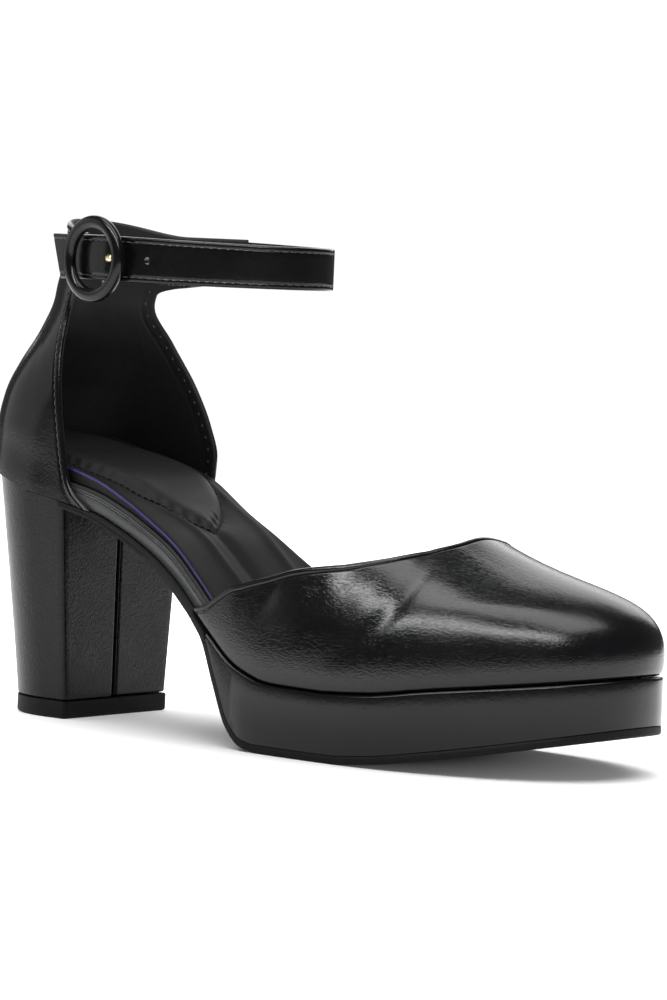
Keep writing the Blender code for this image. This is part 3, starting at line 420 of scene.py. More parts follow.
gloss_leather = hide(
    "gloss_leather", (0.0035, 0.0035, 0.004), (0.010, 0.010, 0.011), 0.20, 0.03,
    (1300, 0.30), (330, 0.20), 0.00004, 0.29,
)
vamp_leather = hide(
    "vamp_leather", (0.0035, 0.0035, 0.004), (0.012, 0.012, 0.013), 0.200, 0.040,
    (1200, 0.34), (760, 0.40), 0.00004, 0.38, (0.6, 1.2, 1.2),
)
heel_leather = hide(
    "heel_leather", (0.0035, 0.0035, 0.004), (0.0055, 0.0055, 0.006), 0.30, 0.04,
    (1500, 0.40), (620, 0.60), 0.00005, 0.20,
)
lining_leather = hide(
    "lining_leather", (0.0060, 0.0060, 0.0056), (0.02, 0.02, 0.02), 0.58, 0.05,
    (2400, 0.5), (900, 0.2), 0.00006, 0.25,
)
insole_leather = hide(
    "insole_leather", (0.0085, 0.0085, 0.0088), (0.02, 0.02, 0.02), 0.52, 0.05,
    (2600, 0.5), (1100, 0.15), 0.00005, 0.05,
)
pad_leather = hide(
    "pad_leather", (0.0120, 0.0120, 0.0124), (0.03, 0.03, 0.03), 0.52, 0.05,
    (2600, 0.5), (900, 0.15), 0.00005, 0.09,
)
# The rand's grey base is its own satin tone, lightened as a painted sheen: it stands in for part of the light its
# gloss reflects.
rand_satin_and_painted_sheen = hide(
    "rand_satin_and_painted_sheen", (0.060, 0.062, 0.062), (0.16, 0.16, 0.16), 0.30, 0.05,
    (2200, 0.4), (900, 0.12), 0.00003, 0.60,
)
violet_edge = hide(
    "violet_edge", (0.026, 0.016, 0.16), (0.06, 0.04, 0.26), 0.42, 0.05,
    (2200, 0.6), (800, 0.3), 0.00006, 0.40,
)
# The thread's dark grey is partly painted highlight: the stitches are near black, and the lighter base stands in for
# the glints that show each stitch.
thread = hide(
    "thread", (0.035, 0.035, 0.036), (0.06, 0.06, 0.06), 0.38, 0.05,
    (3800, 0.8), (2600, 0.4), 0.00004, 0.45,
)
print("leathers and thread ready")

# %% [markdown]
# ## Rubber and metal
# The outsole and the heel's top piece are matt black rubber. Underneath, the outsole has fine
# cross ribs, which a wave texture gives as a bump on the faces that look down. The prong and the
# bar are pale gold: a metal with fine brush marks in its gloss and its bump.


# %% Rubber and metal finishes
def rubber(name, ribs):
    """Matt rubber, with fine ribs pressed in by a wave."""
    material, tree, shader = new_material(name, {"Specular IOR Level": 0.14})
    coord = put(tree, "ShaderNodeTexCoord", -1100, 0)
    noise = put(tree, "ShaderNodeTexNoise", -800, -200, {"Scale": 2600.0, "Detail": 3.0})
    wave = put(
        tree, "ShaderNodeTexWave", -800, 200, {"Scale": 62.0, "Distortion": 0.0},
        wave_type="BANDS", bands_direction="X", wave_profile="SIN",
    )
    height = put(tree, "ShaderNodeMath", -500, 0, {1: ribs}, operation="MULTIPLY_ADD")
    bump = put(tree, "ShaderNodeBump", -250, -200, {"Distance": 0.00012})
    dull = put(tree, "ShaderNodeMapRange", -300, 60, {"To Min": 0.50, "To Max": 0.62})
    join(
        tree,
        (coord, "Object", noise, "Vector"), (coord, "Object", wave, "Vector"), (wave, "Fac", height, 0),
        (noise, "Fac", height, 2), (height, 0, bump, "Height"), (bump, "Normal", shader, "Normal"),
        (noise, "Fac", dull, "Value"), (dull, "Result", shader, "Roughness"),
    )
    worn_colour(tree, shader, (0.003, 0.0028, 0.0028), (0.012, 0.010, 0.009))
    return material


def gold():
    """Pale gold plating with fine brush marks."""
    material, tree, shader = new_material("pale_gold_plate", {"Metallic": 1.0})
    coord = put(tree, "ShaderNodeTexCoord", -1100, 0)
    stretch = put(tree, "ShaderNodeVectorMath", -900, 0, {1: (1, 1, 6)}, operation="MULTIPLY")
    brushed = put(tree, "ShaderNodeTexNoise", -700, 0, {"Scale": 1200.0})
    tone = put(
        tree, "ShaderNodeMix", -300, 200, {"A": (0.86, 0.66, 0.42, 1), "B": (0.72, 0.52, 0.32, 1)},
        data_type="RGBA",
    )
    dull = put(tree, "ShaderNodeMapRange", -300, -50, {"To Min": 0.16, "To Max": 0.34})
    bump = put(tree, "ShaderNodeBump", -250, -300, {"Distance": 0.00003})
    join(
        tree,
        (coord, "Object", stretch, 0), (stretch, 0, brushed, "Vector"), (brushed, "Fac", tone, "Factor"),
        (tone, "Result", shader, "Base Color"), (brushed, "Fac", dull, "Value"),
        (dull, "Result", shader, "Roughness"), (brushed, "Fac", bump, "Height"), (bump, "Normal", shader, "Normal"),
    )
    return material


sole_rubber = rubber("sole_rubber_matt", 2.2)
edge_rubber = rubber("edge_rubber", 0.0)
gold_plate = gold()
print("rubber and gold ready")

# %% [markdown]
# ## Layers that follow the plan
# Outsole, platform, board and insole are stacks of rings: each ring is the plan moved in or out,
# at its own height. Faces between the rings make the side, and rows laid across close the top
# and the underside. A few close rings round an edge softly, which a bevel would do less evenly.


# %% A body from rings
def even_shares(count, back_round):
    """Shares from 0 to 1, closer together at the round toe and at a round back."""
    t = np.arange(count + 1) / count
    if back_round:
        return 0.35 * t + 0.65 * (1 - np.cos(t * math.pi)) / 2
    return 0.45 * t + 0.55 * np.sin(t * math.pi / 2)


def layered_body(name, rings, across, low_cap, high_cap, shares, finishes, paint, node, start=None):
    """Body from rings of (offset, height), capped by rows laid across.

    paint holds the finish of each step between rings, then of the underside and the top.
    """
    points, faces, marks = [], [], []
    count = len(shares)
    loops = []
    for offset, height in rings:
        lateral, medial = sides(offset)
        first = lateral[0, 0] if start is None else start
        xs = first + shares * (lateral[-1, 0] - first)
        z = height(xs)
        left = np.stack([xs, np.interp(xs, lateral[:, 0], lateral[:, 1]), z], axis=1)
        right = np.stack([xs, np.interp(xs, medial[:, 0], medial[:, 1]), z], axis=1)
        loops.append((len(points), len(points) + count, left, right))
        points += [tuple(p) for p in left] + [tuple(p) for p in right]
    for step, (low, high) in enumerate(zip(loops, loops[1:])):
        for side in (0, 1):
            for i in range(count - 1):
                faces.append((low[side] + i, low[side] + i + 1, high[side] + i + 1, high[side] + i))
                marks.append(paint[step])
        if start is not None:
            faces.append((low[0], low[1], high[1], high[0]))
            marks.append(paint[step])
    for number, (loop, cap) in enumerate(((loops[0], low_cap), (loops[-1], high_cap))):
        left, right = loop[2], loop[3]
        first_point = len(points)
        share = np.arange(across + 1) / across
        for a, b in zip(left, right):
            y = a[1] + (b[1] - a[1]) * share
            x = np.full(across + 1, a[0])
            z = cap(x, y, 2 * share - 1)
            z[0], z[-1] = a[2], b[2]
            points += list(zip(x, y, z))
        new = sheet_faces(count, across + 1, first_point)
        faces += new
        marks += [paint[len(rings) - 1 + number]] * len(new)
    return make_piece(name, points, faces, marks, finishes, (node,))


FINE_SHARES = even_shares(150, False)
HEEL_FRONT = 0.0146
SOLE_START = HEEL_FRONT + GAP

# %% [markdown]
# ## Outsole
# The outsole is a thin sheet from the heel breast down the arch and under the platform. Its
# edge is slightly rounded and its underside is ribbed, so it takes two finishes.

# %% Make the outsole
SOLE_ROUND = 0.0007


def lifted(height, rise):
    """Height line moved up by a rise."""
    return lambda x: height(x) + rise


layered_body(
    "outsole_sheet",
    [
        (SOLE_EDGE - 1.8 * SOLE_ROUND, lifted(sole_under, 0.0)),
        (SOLE_EDGE - SOLE_ROUND, lifted(sole_under, 0.0)),
        (SOLE_EDGE - 0.3 * SOLE_ROUND, lifted(sole_under, 0.25 * SOLE_ROUND)),
        (SOLE_EDGE, lifted(sole_under, SOLE_ROUND)),
        (SOLE_EDGE, lifted(sole_top, -0.35 * SOLE_ROUND)),
        (SOLE_EDGE - 0.35 * SOLE_ROUND, lifted(sole_top, 0.0)),
    ],
    2, lambda x, y, c: sole_under(x), lambda x, y, c: sole_top(x), FINE_SHARES,
    [edge_rubber, sole_rubber], [1, 0, 0, 0, 0, 1, 0], "outsole", SOLE_START,
)

# %% [markdown]
# ## Platform
# A leather covered platform lies between outsole and upper. It has an upright side and a rounded
# lip that catches the light, and it thins out to nothing where the arch begins.

# %% Make the platform
PLATFORM_LIP = 0.0011
THINNEST = 0.0006


def platform_low(x):
    """Underside of the platform, close over the outsole so that no light shows between."""
    return sole_top(x) + GAP / 10


def platform_high(x):
    """Top of the platform, just under the upper."""
    return bed(x) - GAP


def platform_level(turn):
    """Height on the rounded lip, from 0 at the upright side to 1 on top."""
    def height(x):
        full = platform_high(x) - platform_low(x)
        lip = np.minimum(PLATFORM_LIP, full / 2)
        return platform_high(x) - lip * (1 - math.sin(turn * math.pi / 2))
    return height


sole_length = sides(SOLE_EDGE)[0][-1, 0] - SOLE_START
sole_x = SOLE_START + FINE_SHARES * sole_length
thick_enough = (sole_x > along(0.56)) & (bed(sole_x) - sole_top(sole_x) > THINNEST + 2 * GAP)
lip_rings = [
    (SOLE_EDGE - PLATFORM_LIP * (1 - math.cos(turn * math.pi / 2)), platform_level(turn))
    for turn in (0.0, 0.25, 0.5, 0.75, 1.0)
]
edge_drop = 0.0002
layered_body(
    "platform_cover",
    [(SOLE_EDGE - edge_drop, platform_low), (SOLE_EDGE, lifted(platform_low, edge_drop))] + lip_rings,
    1, lambda x, y, c: platform_low(x), lambda x, y, c: platform_high(x), FINE_SHARES[thick_enough],
    [gloss_leather], [0] * 8, "platform", SOLE_START,
)

# %% [markdown]
# ## Insole board and its rand
# In the open waist the edge of the insole board shows as a rand: a wide satin band with two
# thin beads above it. The beads are rings that step in and out again within half a millimetre.

# %% Make the insole board
RAND_PROFILE = [
    (0.35, 0.00), (0.05, 0.03), (0.00, 0.07), (0.00, 0.20), (0.00, 0.40), (0.00, 0.56), (0.05, 0.595),
    (0.38, 0.615), (0.38, 0.635), (0.10, 0.655), (0.05, 0.685), (0.10, 0.715), (0.42, 0.735),
    (0.42, 0.755), (0.14, 0.775), (0.10, 0.805), (0.16, 0.835), (0.60, 0.86), (0.75, 0.93), (1.10, 1.00),
]


def rand_level(share):
    """Height on the rand as a share of the board's height."""
    return lambda x: bed(x) + (board_top(x) - bed(x)) * share


layered_body(
    "rand_and_board",
    [(-GAP - inwards * 0.001, rand_level(share)) for inwards, share in RAND_PROFILE],
    2, lambda x, y, c: bed(x), lambda x, y, c: board_top(x), even_shares(170, True),
    [rand_satin_and_painted_sheen, lining_leather], [0] * 16 + [1] * 3 + [1, 1], "insole_board",
)

# %% [markdown]
# ## Insole
# The sock lining is moulded: two long ridges and a crease run forward from the tip of the heel
# pad. They are drawn as lines in plan, each with a height and a width, and added to its top.
# The dyed edge shows as a thin violet line, which is one ring of faces with its own finish.

# %% Make the insole
# columns: height, width, then the marks of the line in plan
INSOLE_LINES = [
    (0.00100, 0.0017, [(0.036, -0.0165), (0.048, -0.0130), (0.0575, -0.0125), (0.0655, -0.0140), (0.085, -0.0170)]),
    (0.00110, 0.0018, [(0.020, 0.0225), (0.038, 0.0205), (0.054, 0.0185), (0.0635, 0.0155), (0.085, 0.0120)]),
    (-0.00170, 0.0024, [(0.054, -0.0025), (0.0605, -0.0040), (0.067, -0.0050), (0.085, -0.0085)]),
]

# Side lines of the heel pad in plan: its seam presses a narrow groove into the insole
PAD_LATERAL = smooth_line([
    (-0.0228, -0.0077), (-0.0177, -0.0142), (-0.0086, -0.0195), (0.0, -0.0221), (0.0128, -0.0222),
    (0.0218, -0.0208), (0.0294, -0.0188), (0.0365, -0.0165), (0.0435, -0.0132), (0.0493, -0.0095),
    (0.0530, -0.0066), (0.0550, -0.0044),
])
PAD_MEDIAL = smooth_line([
    (-0.0228, 0.0077), (-0.0177, 0.0142), (-0.0086, 0.0195), (0.0, 0.0221), (0.0128, 0.0226),
    (0.0218, 0.0224), (0.0294, 0.0212), (0.0365, 0.0186), (0.0435, 0.0132), (0.0493, 0.0062),
    (0.0530, 0.0002), (0.0550, -0.0040),
])
PAD_FIRST, PAD_LAST = -0.0228, 0.0550
SEAM_DEPTH, SEAM_WIDTH = 0.0009, 0.0011


def line_distance(points, line):
    """Distance from each point to a line of points, and the place along it from 0 to 1."""
    best = np.full(len(points), np.inf)
    place = np.zeros(len(points))
    way = travelled(line)
    for i in range(len(line) - 1):
        span = line[i + 1] - line[i]
        t = np.clip((points - line[i]) @ span / max(span @ span, 1e-18), 0, 1)
        far = np.linalg.norm(points - line[i] - t[:, None] * span, axis=1)
        nearer = far < best
        best = np.where(nearer, far, best)
        place = np.where(nearer, (way[i] + t * (way[i + 1] - way[i])) / way[-1], place)
    return best, place


def pad_outline(x):
    """Outline of the heel pad in plan: forwards along one side line and back along the other."""
    return np.vstack([np.stack([x, PAD_LATERAL(x)], axis=1), np.stack([x, PAD_MEDIAL(x)], axis=1)[::-1]])


PAD_SEAM = pad_outline(np.linspace(PAD_FIRST, PAD_LAST, 60))


def insole_relief(x, y):
    """Height of the moulded ridges and of the crease at a place in plan."""
    spots = np.stack([x, y], axis=1)
    relief = np.zeros(len(spots))
    for height, width, marks in INSOLE_LINES:
        far, place = line_distance(spots, np.array(marks))
        fade = np.clip(place / 0.12, 0.0, 1.0)
        relief += height * fade * np.exp(-np.abs(far / width) ** 1.4)
    far, _ = line_distance(spots, PAD_SEAM)
    return relief - SEAM_DEPTH * np.exp(-(far / SEAM_WIDTH) ** 2)


def insole_face(x, y, across):
    """Height of the insole's top with its relief, which dies out at the edges."""
    return insole_top(x, across) + insole_relief(x, y) * (1 - np.abs(across) ** 6)


layered_body(
    "sock_lining",
    [
        (-INSOLE_INSET - 0.0003, lambda x: board_top(x) + GAP),
        (-INSOLE_INSET, lambda x: board_top(x) + GAP + 0.0003),
        (-INSOLE_INSET, lambda x: insole_top(x, 1) - 0.00115),
        (-INSOLE_INSET + 0.0001, lambda x: insole_top(x, 1) - 0.0010),
        (-INSOLE_INSET, lambda x: insole_top(x, 1) - 0.00045),
        (-INSOLE_INSET - 0.0003, lambda x: insole_top(x, 1) - 0.00012),
        (-INSOLE_INSET - 0.0008, lambda x: insole_top(x, 1)),
    ],
    44, lambda x, y, c: board_top(x) + GAP, insole_face, even_shares(150, True),
    [insole_leather, violet_edge, lining_leather], [2, 2, 1, 1, 0, 0, 2, 0], "insole",
)

# %% [markdown]
# ## Heel pad
# A padded island lies under the heel. It is sewn down round its edge, so it is highest in its
# middle, and every stitch pulls the edge in and leaves a small pucker. The pad is a grid of
# points between its two side lines, raised by the distance from the seam.

# %% Make the heel pad
def wall_faces(columns, rows):
    """Faces of a wall between an outer and an inner grid, with the finish of each: 0 out, 1 in."""
    inner = columns * rows
    faces = sheet_faces(columns, rows) + sheet_faces(columns, rows, inner)
    paint = [0] * (len(faces) // 2) + [1] * (len(faces) // 2)
    rim = []
    for k in (0, rows - 1):
        for i in range(columns - 1):
            a, b = i * rows + k, (i + 1) * rows + k
            rim.append((a, b, inner + b, inner + a))
    for i in (0, columns - 1):
        for k in range(rows - 1):
            a, b = i * rows + k, i * rows + k + 1
            rim.append((a, b, inner + b, inner + a))
    return faces + rim, paint + [0] * len(rim)


PUCKER_PITCH, PUCKER_PLACE, PUCKER_WIDTH = 0.0044, 0.0013, 0.0010
LATERAL_PUCKER, MEDIAL_PUCKER = 0.0017, 0.0002
PAD_SWELL_WIDTH, PAD_TAPER_END, PAD_TAPER = 0.0068, 0.0620, 0.030
insole_lateral, insole_medial = sides(-INSOLE_INSET)


def insole_at(x, y):
    """Height of the dressed insole under a place in plan."""
    wide = np.interp(x, insole_medial[:, 0], insole_medial[:, 1])
    narrow = np.interp(x, insole_lateral[:, 0], insole_lateral[:, 1])
    return insole_face(x, y, np.clip(2 * (y - (wide + narrow) / 2) / (wide - narrow), -1, 1))


pad_x = PAD_FIRST + (PAD_LAST - PAD_FIRST) * even_shares(110, True)
pad_loop = pad_outline(pad_x)
pad_loop = np.vstack([pad_loop, pad_loop[:1]])
pad_across = 56
pad_share = 0.5 - 0.5 * np.cos(np.arange(pad_across + 1) / pad_across * math.pi)
pad_grid_x = np.repeat(pad_x, pad_across + 1)
pad_grid_y = (
    PAD_LATERAL(pad_x)[:, None] + (PAD_MEDIAL(pad_x) - PAD_LATERAL(pad_x))[:, None] * pad_share
).ravel()
seam_far, seam_place = line_distance(np.stack([pad_grid_x, pad_grid_y], axis=1), pad_loop)
seam_length = travelled(pad_loop)[-1]
swell = 1 - (1 - np.clip(seam_far / PAD_SWELL_WIDTH, 0, 1)) ** 3.0
front_taper = np.clip((PAD_TAPER_END - pad_grid_x) / PAD_TAPER, 0, 1)
pucker = 0.5 + 0.5 * np.cos(2 * math.pi * seam_place * seam_length / PUCKER_PITCH)
pinch_depth = np.where(seam_place < 0.5, LATERAL_PUCKER, MEDIAL_PUCKER)
pinch = pinch_depth * pucker * np.exp(-((seam_far - PUCKER_PLACE) / PUCKER_WIDTH) ** 2)
pad_floor = insole_at(pad_grid_x, pad_grid_y) + GAP
pad_top = pad_floor + (PAD_THICKNESS - 0.0002) * (0.10 + 0.90 * front_taper) * swell - pinch * swell
pad_top = np.maximum(pad_top, pad_floor)
pad_upper = np.stack([pad_grid_x, pad_grid_y, pad_top], axis=1)
pad_under = np.stack([pad_grid_x, pad_grid_y, pad_floor - 0.0001], axis=1)
pad_faces, pad_paint = wall_faces(len(pad_x), pad_across + 1)
heel_pad = make_piece(
    "padded_heel_rest", np.vstack([pad_upper, pad_under]), pad_faces, [0] * len(pad_paint),
    [pad_leather], ("heel_pad",), crisp=75,
)

# %% [markdown]
# ## Stitches
# A row of stitches is many short pieces of thread, each dipping into the leather at both ends.
# One small bent capsule is repeated along a line at the stitch length, lying on the surface.

# %% A row of stitches
STITCH_STEPS, STITCH_SIDES = 6, 8
STITCH_RISE, STITCH_SINK = 1.5, 0.7


def read_line(at, way, line):
    """Point of a line at a distance along it, or points at several distances."""
    return np.stack([np.interp(at, way, line[:, k]) for k in range(line.shape[1])], axis=-1)


def stitch_row(line, normals, pitch, length, radius):
    """Points and faces of a row of stitches along a line of points."""
    line, normals = np.asarray(line), np.asarray(normals)
    way = travelled(line)
    points, faces = [], []
    for number in range(int((way[-1] - length) / pitch) + 1):
        start = number * pitch + (way[-1] - length) % pitch / 2
        first = len(points)
        for step in range(STITCH_STEPS + 1):
            share = step / STITCH_STEPS
            at = start + length * share
            middle, out = read_line(at, way, line), read_line(at, way, normals)
            out /= np.linalg.norm(out)
            ahead = read_line(at + 1e-4, way, line) - read_line(at - 1e-4, way, line)
            ahead /= max(np.linalg.norm(ahead), 1e-12)
            aside = np.cross(ahead, out)
            bow = 1 - (2 * share - 1) ** 2
            thick = radius * (0.45 + 0.55 * math.sqrt(bow))
            for k in range(STITCH_SIDES):
                turn = 2 * math.pi * k / STITCH_SIDES
                points.append(
                    middle + out * radius * (STITCH_RISE * bow - STITCH_SINK) + aside * thick * math.cos(turn)
                    + out * thick * math.sin(turn)
                )
        for ring in range(first, first + STITCH_STEPS * STITCH_SIDES, STITCH_SIDES):
            for k in range(STITCH_SIDES):
                a, b = ring + k, ring + (k + 1) % STITCH_SIDES
                faces.append((a, b, b + STITCH_SIDES, a + STITCH_SIDES))
        for ring in (first, first + STITCH_STEPS * STITCH_SIDES):
            faces.append(tuple(ring + k for k in range(STITCH_SIDES)))
    return points, faces


def make_stitches(name, rows, finish):
    """One piece from several rows of stitches."""
    points, faces = [], []
    for row_points, row_faces in rows:
        faces += [tuple(c + len(points) for c in face) for face in row_faces]
        points += [tuple(p) for p in row_points]
    return make_piece(name, points, faces, [0] * len(faces), [finish], crisp=80)


pad_sides = []
for reads in (PAD_LATERAL, PAD_MEDIAL):
    side_x = np.linspace(-0.010, PAD_LAST, 120)
    side_y = reads(side_x)
    pad_sides.append(np.stack([side_x, side_y * 0.995, insole_at(side_x, side_y) + GAP + 0.0003], axis=1))
upwards = np.tile([0.25, 0.0, 0.97], (120, 1))
# The pad's stitches are real, but they take the near-black lining leather instead of the thread, a painted shade that
# darkens the seam line.
make_stitches(
    "pad_stitches", [stitch_row(side, upwards, PUCKER_PITCH / 2, 0.0016, 0.00026) for side in pad_sides],
    lining_leather,
)

# %% [markdown]
# ## Vamp
# The vamp is the front of the upper, pulled over the last and down to the sole. Each column of
# the table is one rib from the sole to the topline: it rises straight, then turns over the foot.
# The wall is 1.8 mm thick with a rolled edge on top, a fold line below the roll, and a foot that
# tucks in over the platform. Soft troughs are laid where the leather has creased.

# %% Shape of the vamp
VAMP_THROAT, VAMP_HEIGHT, VAMP_REAR, MIDDLE_LINE = 0.0585, 0.0420, 0.570, 0.05
# columns: share of the way round, topline length, side and height, straight, bulge, reach, fall
VAMP = [
    (-1.00, -2.610, -0.419, 0.030, 0.40, 0.00, 0.50, 0.30),
    (-0.94, -2.330, -0.436, 0.180, 0.40, 0.01, 0.50, 0.30),
    (-0.87, -1.740, -0.450, 0.550, 0.40, 0.02, 0.50, 0.30),
    (-0.72, -0.710, -0.440, 0.815, 0.42, 0.03, 0.50, 0.30),
    (-0.56, 0.060, -0.398, 0.878, 0.45, 0.04, 0.53, 0.32),
    (-0.41, 0.550, -0.318, 0.912, 0.54, 0.05, 0.58, 0.35),
    (-0.27, 0.810, -0.210, 0.946, 0.64, 0.07, 0.63, 0.40),
    (-0.13, 0.970, -0.078, 0.984, 0.68, 0.10, 0.64, 0.43),
    (0.00, 1.000, 0.056, 1.020, 0.70, 0.12, 0.64, 0.45),
    (0.13, 0.960, 0.188, 0.992, 0.70, 0.12, 0.64, 0.47),
    (0.27, 0.800, 0.304, 0.950, 0.68, 0.10, 0.63, 0.45),
    (0.41, 0.500, 0.390, 0.905, 0.62, 0.08, 0.60, 0.38),
    (0.56, 0.040, 0.436, 0.866, 0.48, 0.05, 0.54, 0.32),
    (0.72, -0.710, 0.430, 0.812, 0.42, 0.03, 0.50, 0.30),
    (0.87, -1.740, 0.404, 0.540, 0.40, 0.02, 0.50, 0.30),
    (0.94, -2.330, 0.378, 0.180, 0.40, 0.01, 0.50, 0.30),
    (1.00, -2.610, 0.360, 0.030, 0.40, 0.00, 0.50, 0.30),
]


def smooth_columns(table):
    """Functions through the second and later columns of a table, each by its first column."""
    return [smooth_line([(row[0], row[k]) for row in table]) for k in range(1, len(table[0]))]


VAMP_READS = smooth_columns(VAMP)
vamp_sides = []
for edge in sides(GAP):
    front_part = edge[edge[:, 0] >= along(VAMP_REAR)]
    vamp_sides.append((front_part, travelled(front_part)))


def vamp_rib(share, t):
    """Points of one rib of the last under the vamp, t from 0 at the sole to 1 at the topline."""
    front_part, way = vamp_sides[0 if share <= 0 else 1]
    goal = way[-1] * (1 - abs(share))
    x, y = read_line(goal, way, front_part)
    length, side, high, straight, bulge, reach, fall = [float(read(share)) for read in VAMP_READS]
    foot = np.array([x, y, float(bed(x))])
    top_x = HEEL_TO_BALL + length * (BALL_TO_TOE - VAMP_THROAT)
    top = np.array([top_x, side * BALL_WIDTH, float(bed(top_x)) + high * VAMP_HEIGHT])
    rise = top[2] - foot[2]
    outwards = foot - np.array([min(x, top_x), MIDDLE_LINE * BALL_WIDTH, foot[2]])
    outwards /= np.linalg.norm(outwards)
    first = foot + np.array([0, 0, straight * rise]) + outwards * bulge * rise
    second = top + np.array([foot[0] - top[0], foot[1] - top[1], 0]) * reach - np.array([0, 0, fall * rise])
    t = np.asarray(t, dtype=float)[:, None]
    return foot * (1 - t) ** 3 + first * 3 * t * (1 - t) ** 2 + second * 3 * t * t * (1 - t) + top * t ** 3


RIM_STEPS = np.array([0, 0.08, 0.25, 0.5, 0.8, 1.1, 1.45, 1.75, 1.95, 2.1, 2.25, 2.45, 2.8, 3.4, 4.2]) * 0.001
FOLD_PLACE = 0.0021
vamp_shares = np.concatenate([
    np.linspace(-1, -0.86, 34)[:-1], np.linspace(-0.86, 0.86, 190), np.linspace(0.86, 1, 34)[1:],
])
vamp_columns, vamp_from_top, vamp_from_foot = [], [], []
body_share = np.linspace(0, 1, 40)[1:]
for share in vamp_shares:
    dense = vamp_rib(share, np.linspace(1, 0, 120))
    way = travelled(dense)
    small = min(1.0, way[-1] / 0.012)
    rim = RIM_STEPS * small
    spots = np.concatenate([rim, rim[-1] + (way[-1] - rim[-1]) * body_share * (1.22 - 0.22 * body_share)])
    vamp_columns.append(read_line(spots, way, dense))
    vamp_from_top.append(spots)
    vamp_from_foot.append(way[-1] - spots)
vamp_inner = np.array(vamp_columns)
vamp_from_top, vamp_from_foot = np.array(vamp_from_top), np.array(vamp_from_foot)
print("vamp grid", vamp_inner.shape)

# %% [markdown]
# The creases of the vamp follow. Each is a line of marks: how far round the shoe, how far up,
# how deep in millimetres (a minus sign makes a trough) and how wide.

# %% Creases of the vamp
VAMP_CREASES = [
    [
        (-0.262, 0.985, -0.20, 2.4), (-0.355, 0.840, -0.60, 3.0), (-0.440, 0.660, -0.70, 3.4),
        (-0.500, 0.490, -0.60, 3.6), (-0.570, 0.340, -0.35, 3.8), (-0.640, 0.200, -0.08, 4.0),
    ],
    [(-0.330, 0.985, 0.10, 3.0), (-0.500, 0.860, 0.30, 4.6), (-0.600, 0.650, 0.25, 5.0), (-0.680, 0.400, 0.05, 5.0)],
    [(-0.420, 0.560, 0.0, 3.0), (-0.330, 0.530, 0.28, 3.4), (-0.200, 0.450, 0.22, 3.6), (-0.060, 0.380, 0.0, 3.6)],
    [(-0.760, 0.930, 0.0, 2.0), (-0.790, 0.760, -0.30, 2.8), (-0.830, 0.560, 0.0, 3.0)],
    [(-0.640, 0.960, 0.0, 2.0), (-0.665, 0.800, -0.22, 2.8), (-0.700, 0.560, 0.0, 3.0)],
    [(0.300, 0.985, -0.15, 2.4), (0.400, 0.820, -0.55, 3.2), (0.470, 0.620, -0.45, 3.6), (0.520, 0.380, -0.10, 3.8)],
    [(0.340, 0.985, 0.10, 3.0), (0.500, 0.830, 0.30, 4.4), (0.580, 0.640, 0.25, 4.8), (0.640, 0.400, 0.05, 5.0)],
]


def crease_depth(points, creases, rib):
    """Height of given troughs and ridges at each point."""
    relief = np.zeros(len(points))
    for marks in creases:
        marks = np.array(marks)
        line = np.array([rib(share, [t])[0] for share, t in marks[:, :2]])
        way = travelled(line) / travelled(line)[-1]
        fine = np.linspace(0, 1, 24)
        reads = smooth_columns(np.column_stack([way, line]))
        far, place = line_distance(points, np.stack([read(fine) for read in reads], axis=1))
        deep = np.interp(place, way, marks[:, 2])
        wide = np.interp(place, way, marks[:, 3])
        relief += 0.001 * deep * np.exp(-(far / (0.001 * wide)) ** 2)
    return relief


def grid_normals(points):
    """Unit normals of a grid of points, away from the middle of the piece."""
    normal = np.cross(np.gradient(points, axis=0), np.gradient(points, axis=1))
    normal /= np.maximum(np.linalg.norm(normal, axis=2), 1e-12)[:, :, None]
    middle, low = points.shape[0] // 2, points.shape[1] // 3
    if np.dot(normal[middle, low], points[middle, low] - points[:, low].mean(axis=0)) < 0:
        normal = -normal
    return normal


vamp_normal = grid_normals(vamp_inner)
vamp_relief = crease_depth(vamp_inner.reshape(-1, 3), VAMP_CREASES, vamp_rib).reshape(vamp_inner.shape[:2])
CREASE_FADE = 0.006
vamp_relief *= np.clip(vamp_from_foot / CREASE_FADE, 0, 1)
print("deepest crease", round(float(vamp_relief.min()) * 1000, 2), "mm")


# %% [markdown]
# The wall is now closed: near the free edge its two faces meet in a half round.

# %% Make the vamp
def rolled_wall(far, wall, fold=FOLD_PLACE, fold_depth=0.00034, bead=0.00016):
    """Distances of the inner and the outer face from the last, by the distance to the free edge."""
    half = wall / 2
    near = np.clip(far / half, 0, 1)
    swing = half * np.sqrt(np.clip(1 - (1 - near) ** 2, 0, 1))
    ridge = bead * np.clip(near, 0, 1) * (1 - 1 / (1 + np.exp(-(far - fold * 0.88) / 0.00008)))
    groove = fold_depth * np.exp(-((far - fold) / 0.00022) ** 2)
    return half - swing, half + swing + ridge - groove


TUCK_DEPTH, TUCK_HEIGHT = 0.0010, 0.0012
inner_off, outer_off = rolled_wall(vamp_from_top, UPPER_WALL)
tuck = TUCK_DEPTH * np.exp(-vamp_from_foot / TUCK_HEIGHT)
vamp_out = vamp_inner + vamp_normal * (outer_off - tuck + vamp_relief)[:, :, None]
vamp_out[:, -1, 2] = bed(vamp_out[:, -1, 0])
vamp_in = vamp_inner + vamp_normal * (inner_off + np.minimum(vamp_relief, 0) * 0.5)[:, :, None]
vamp_faces, vamp_paint = wall_faces(*vamp_inner.shape[:2])
make_piece(
    "vamp_leather_wall", np.vstack([vamp_out.reshape(-1, 3), vamp_in.reshape(-1, 3)]), vamp_faces, vamp_paint,
    [vamp_leather, lining_leather], ("vamp",), crisp=60,
)

# %% [markdown]
# ## Quarter
# The quarter is the back of the upper. It stands on the heel seat, draws in to the ankle and
# ends in a collar. Its front edges and its collar are folded over, so each has a rounded rim
# and a line where the fold ends. The inside is lined with matt leather.

# %% Shape of the quarter
COLLAR_RISE, COLLAR_FRONT_DROP, ANKLE_DEPTH, ANKLE_WIDTH = 0.0782, 0.0045, 0.0475, 0.0550
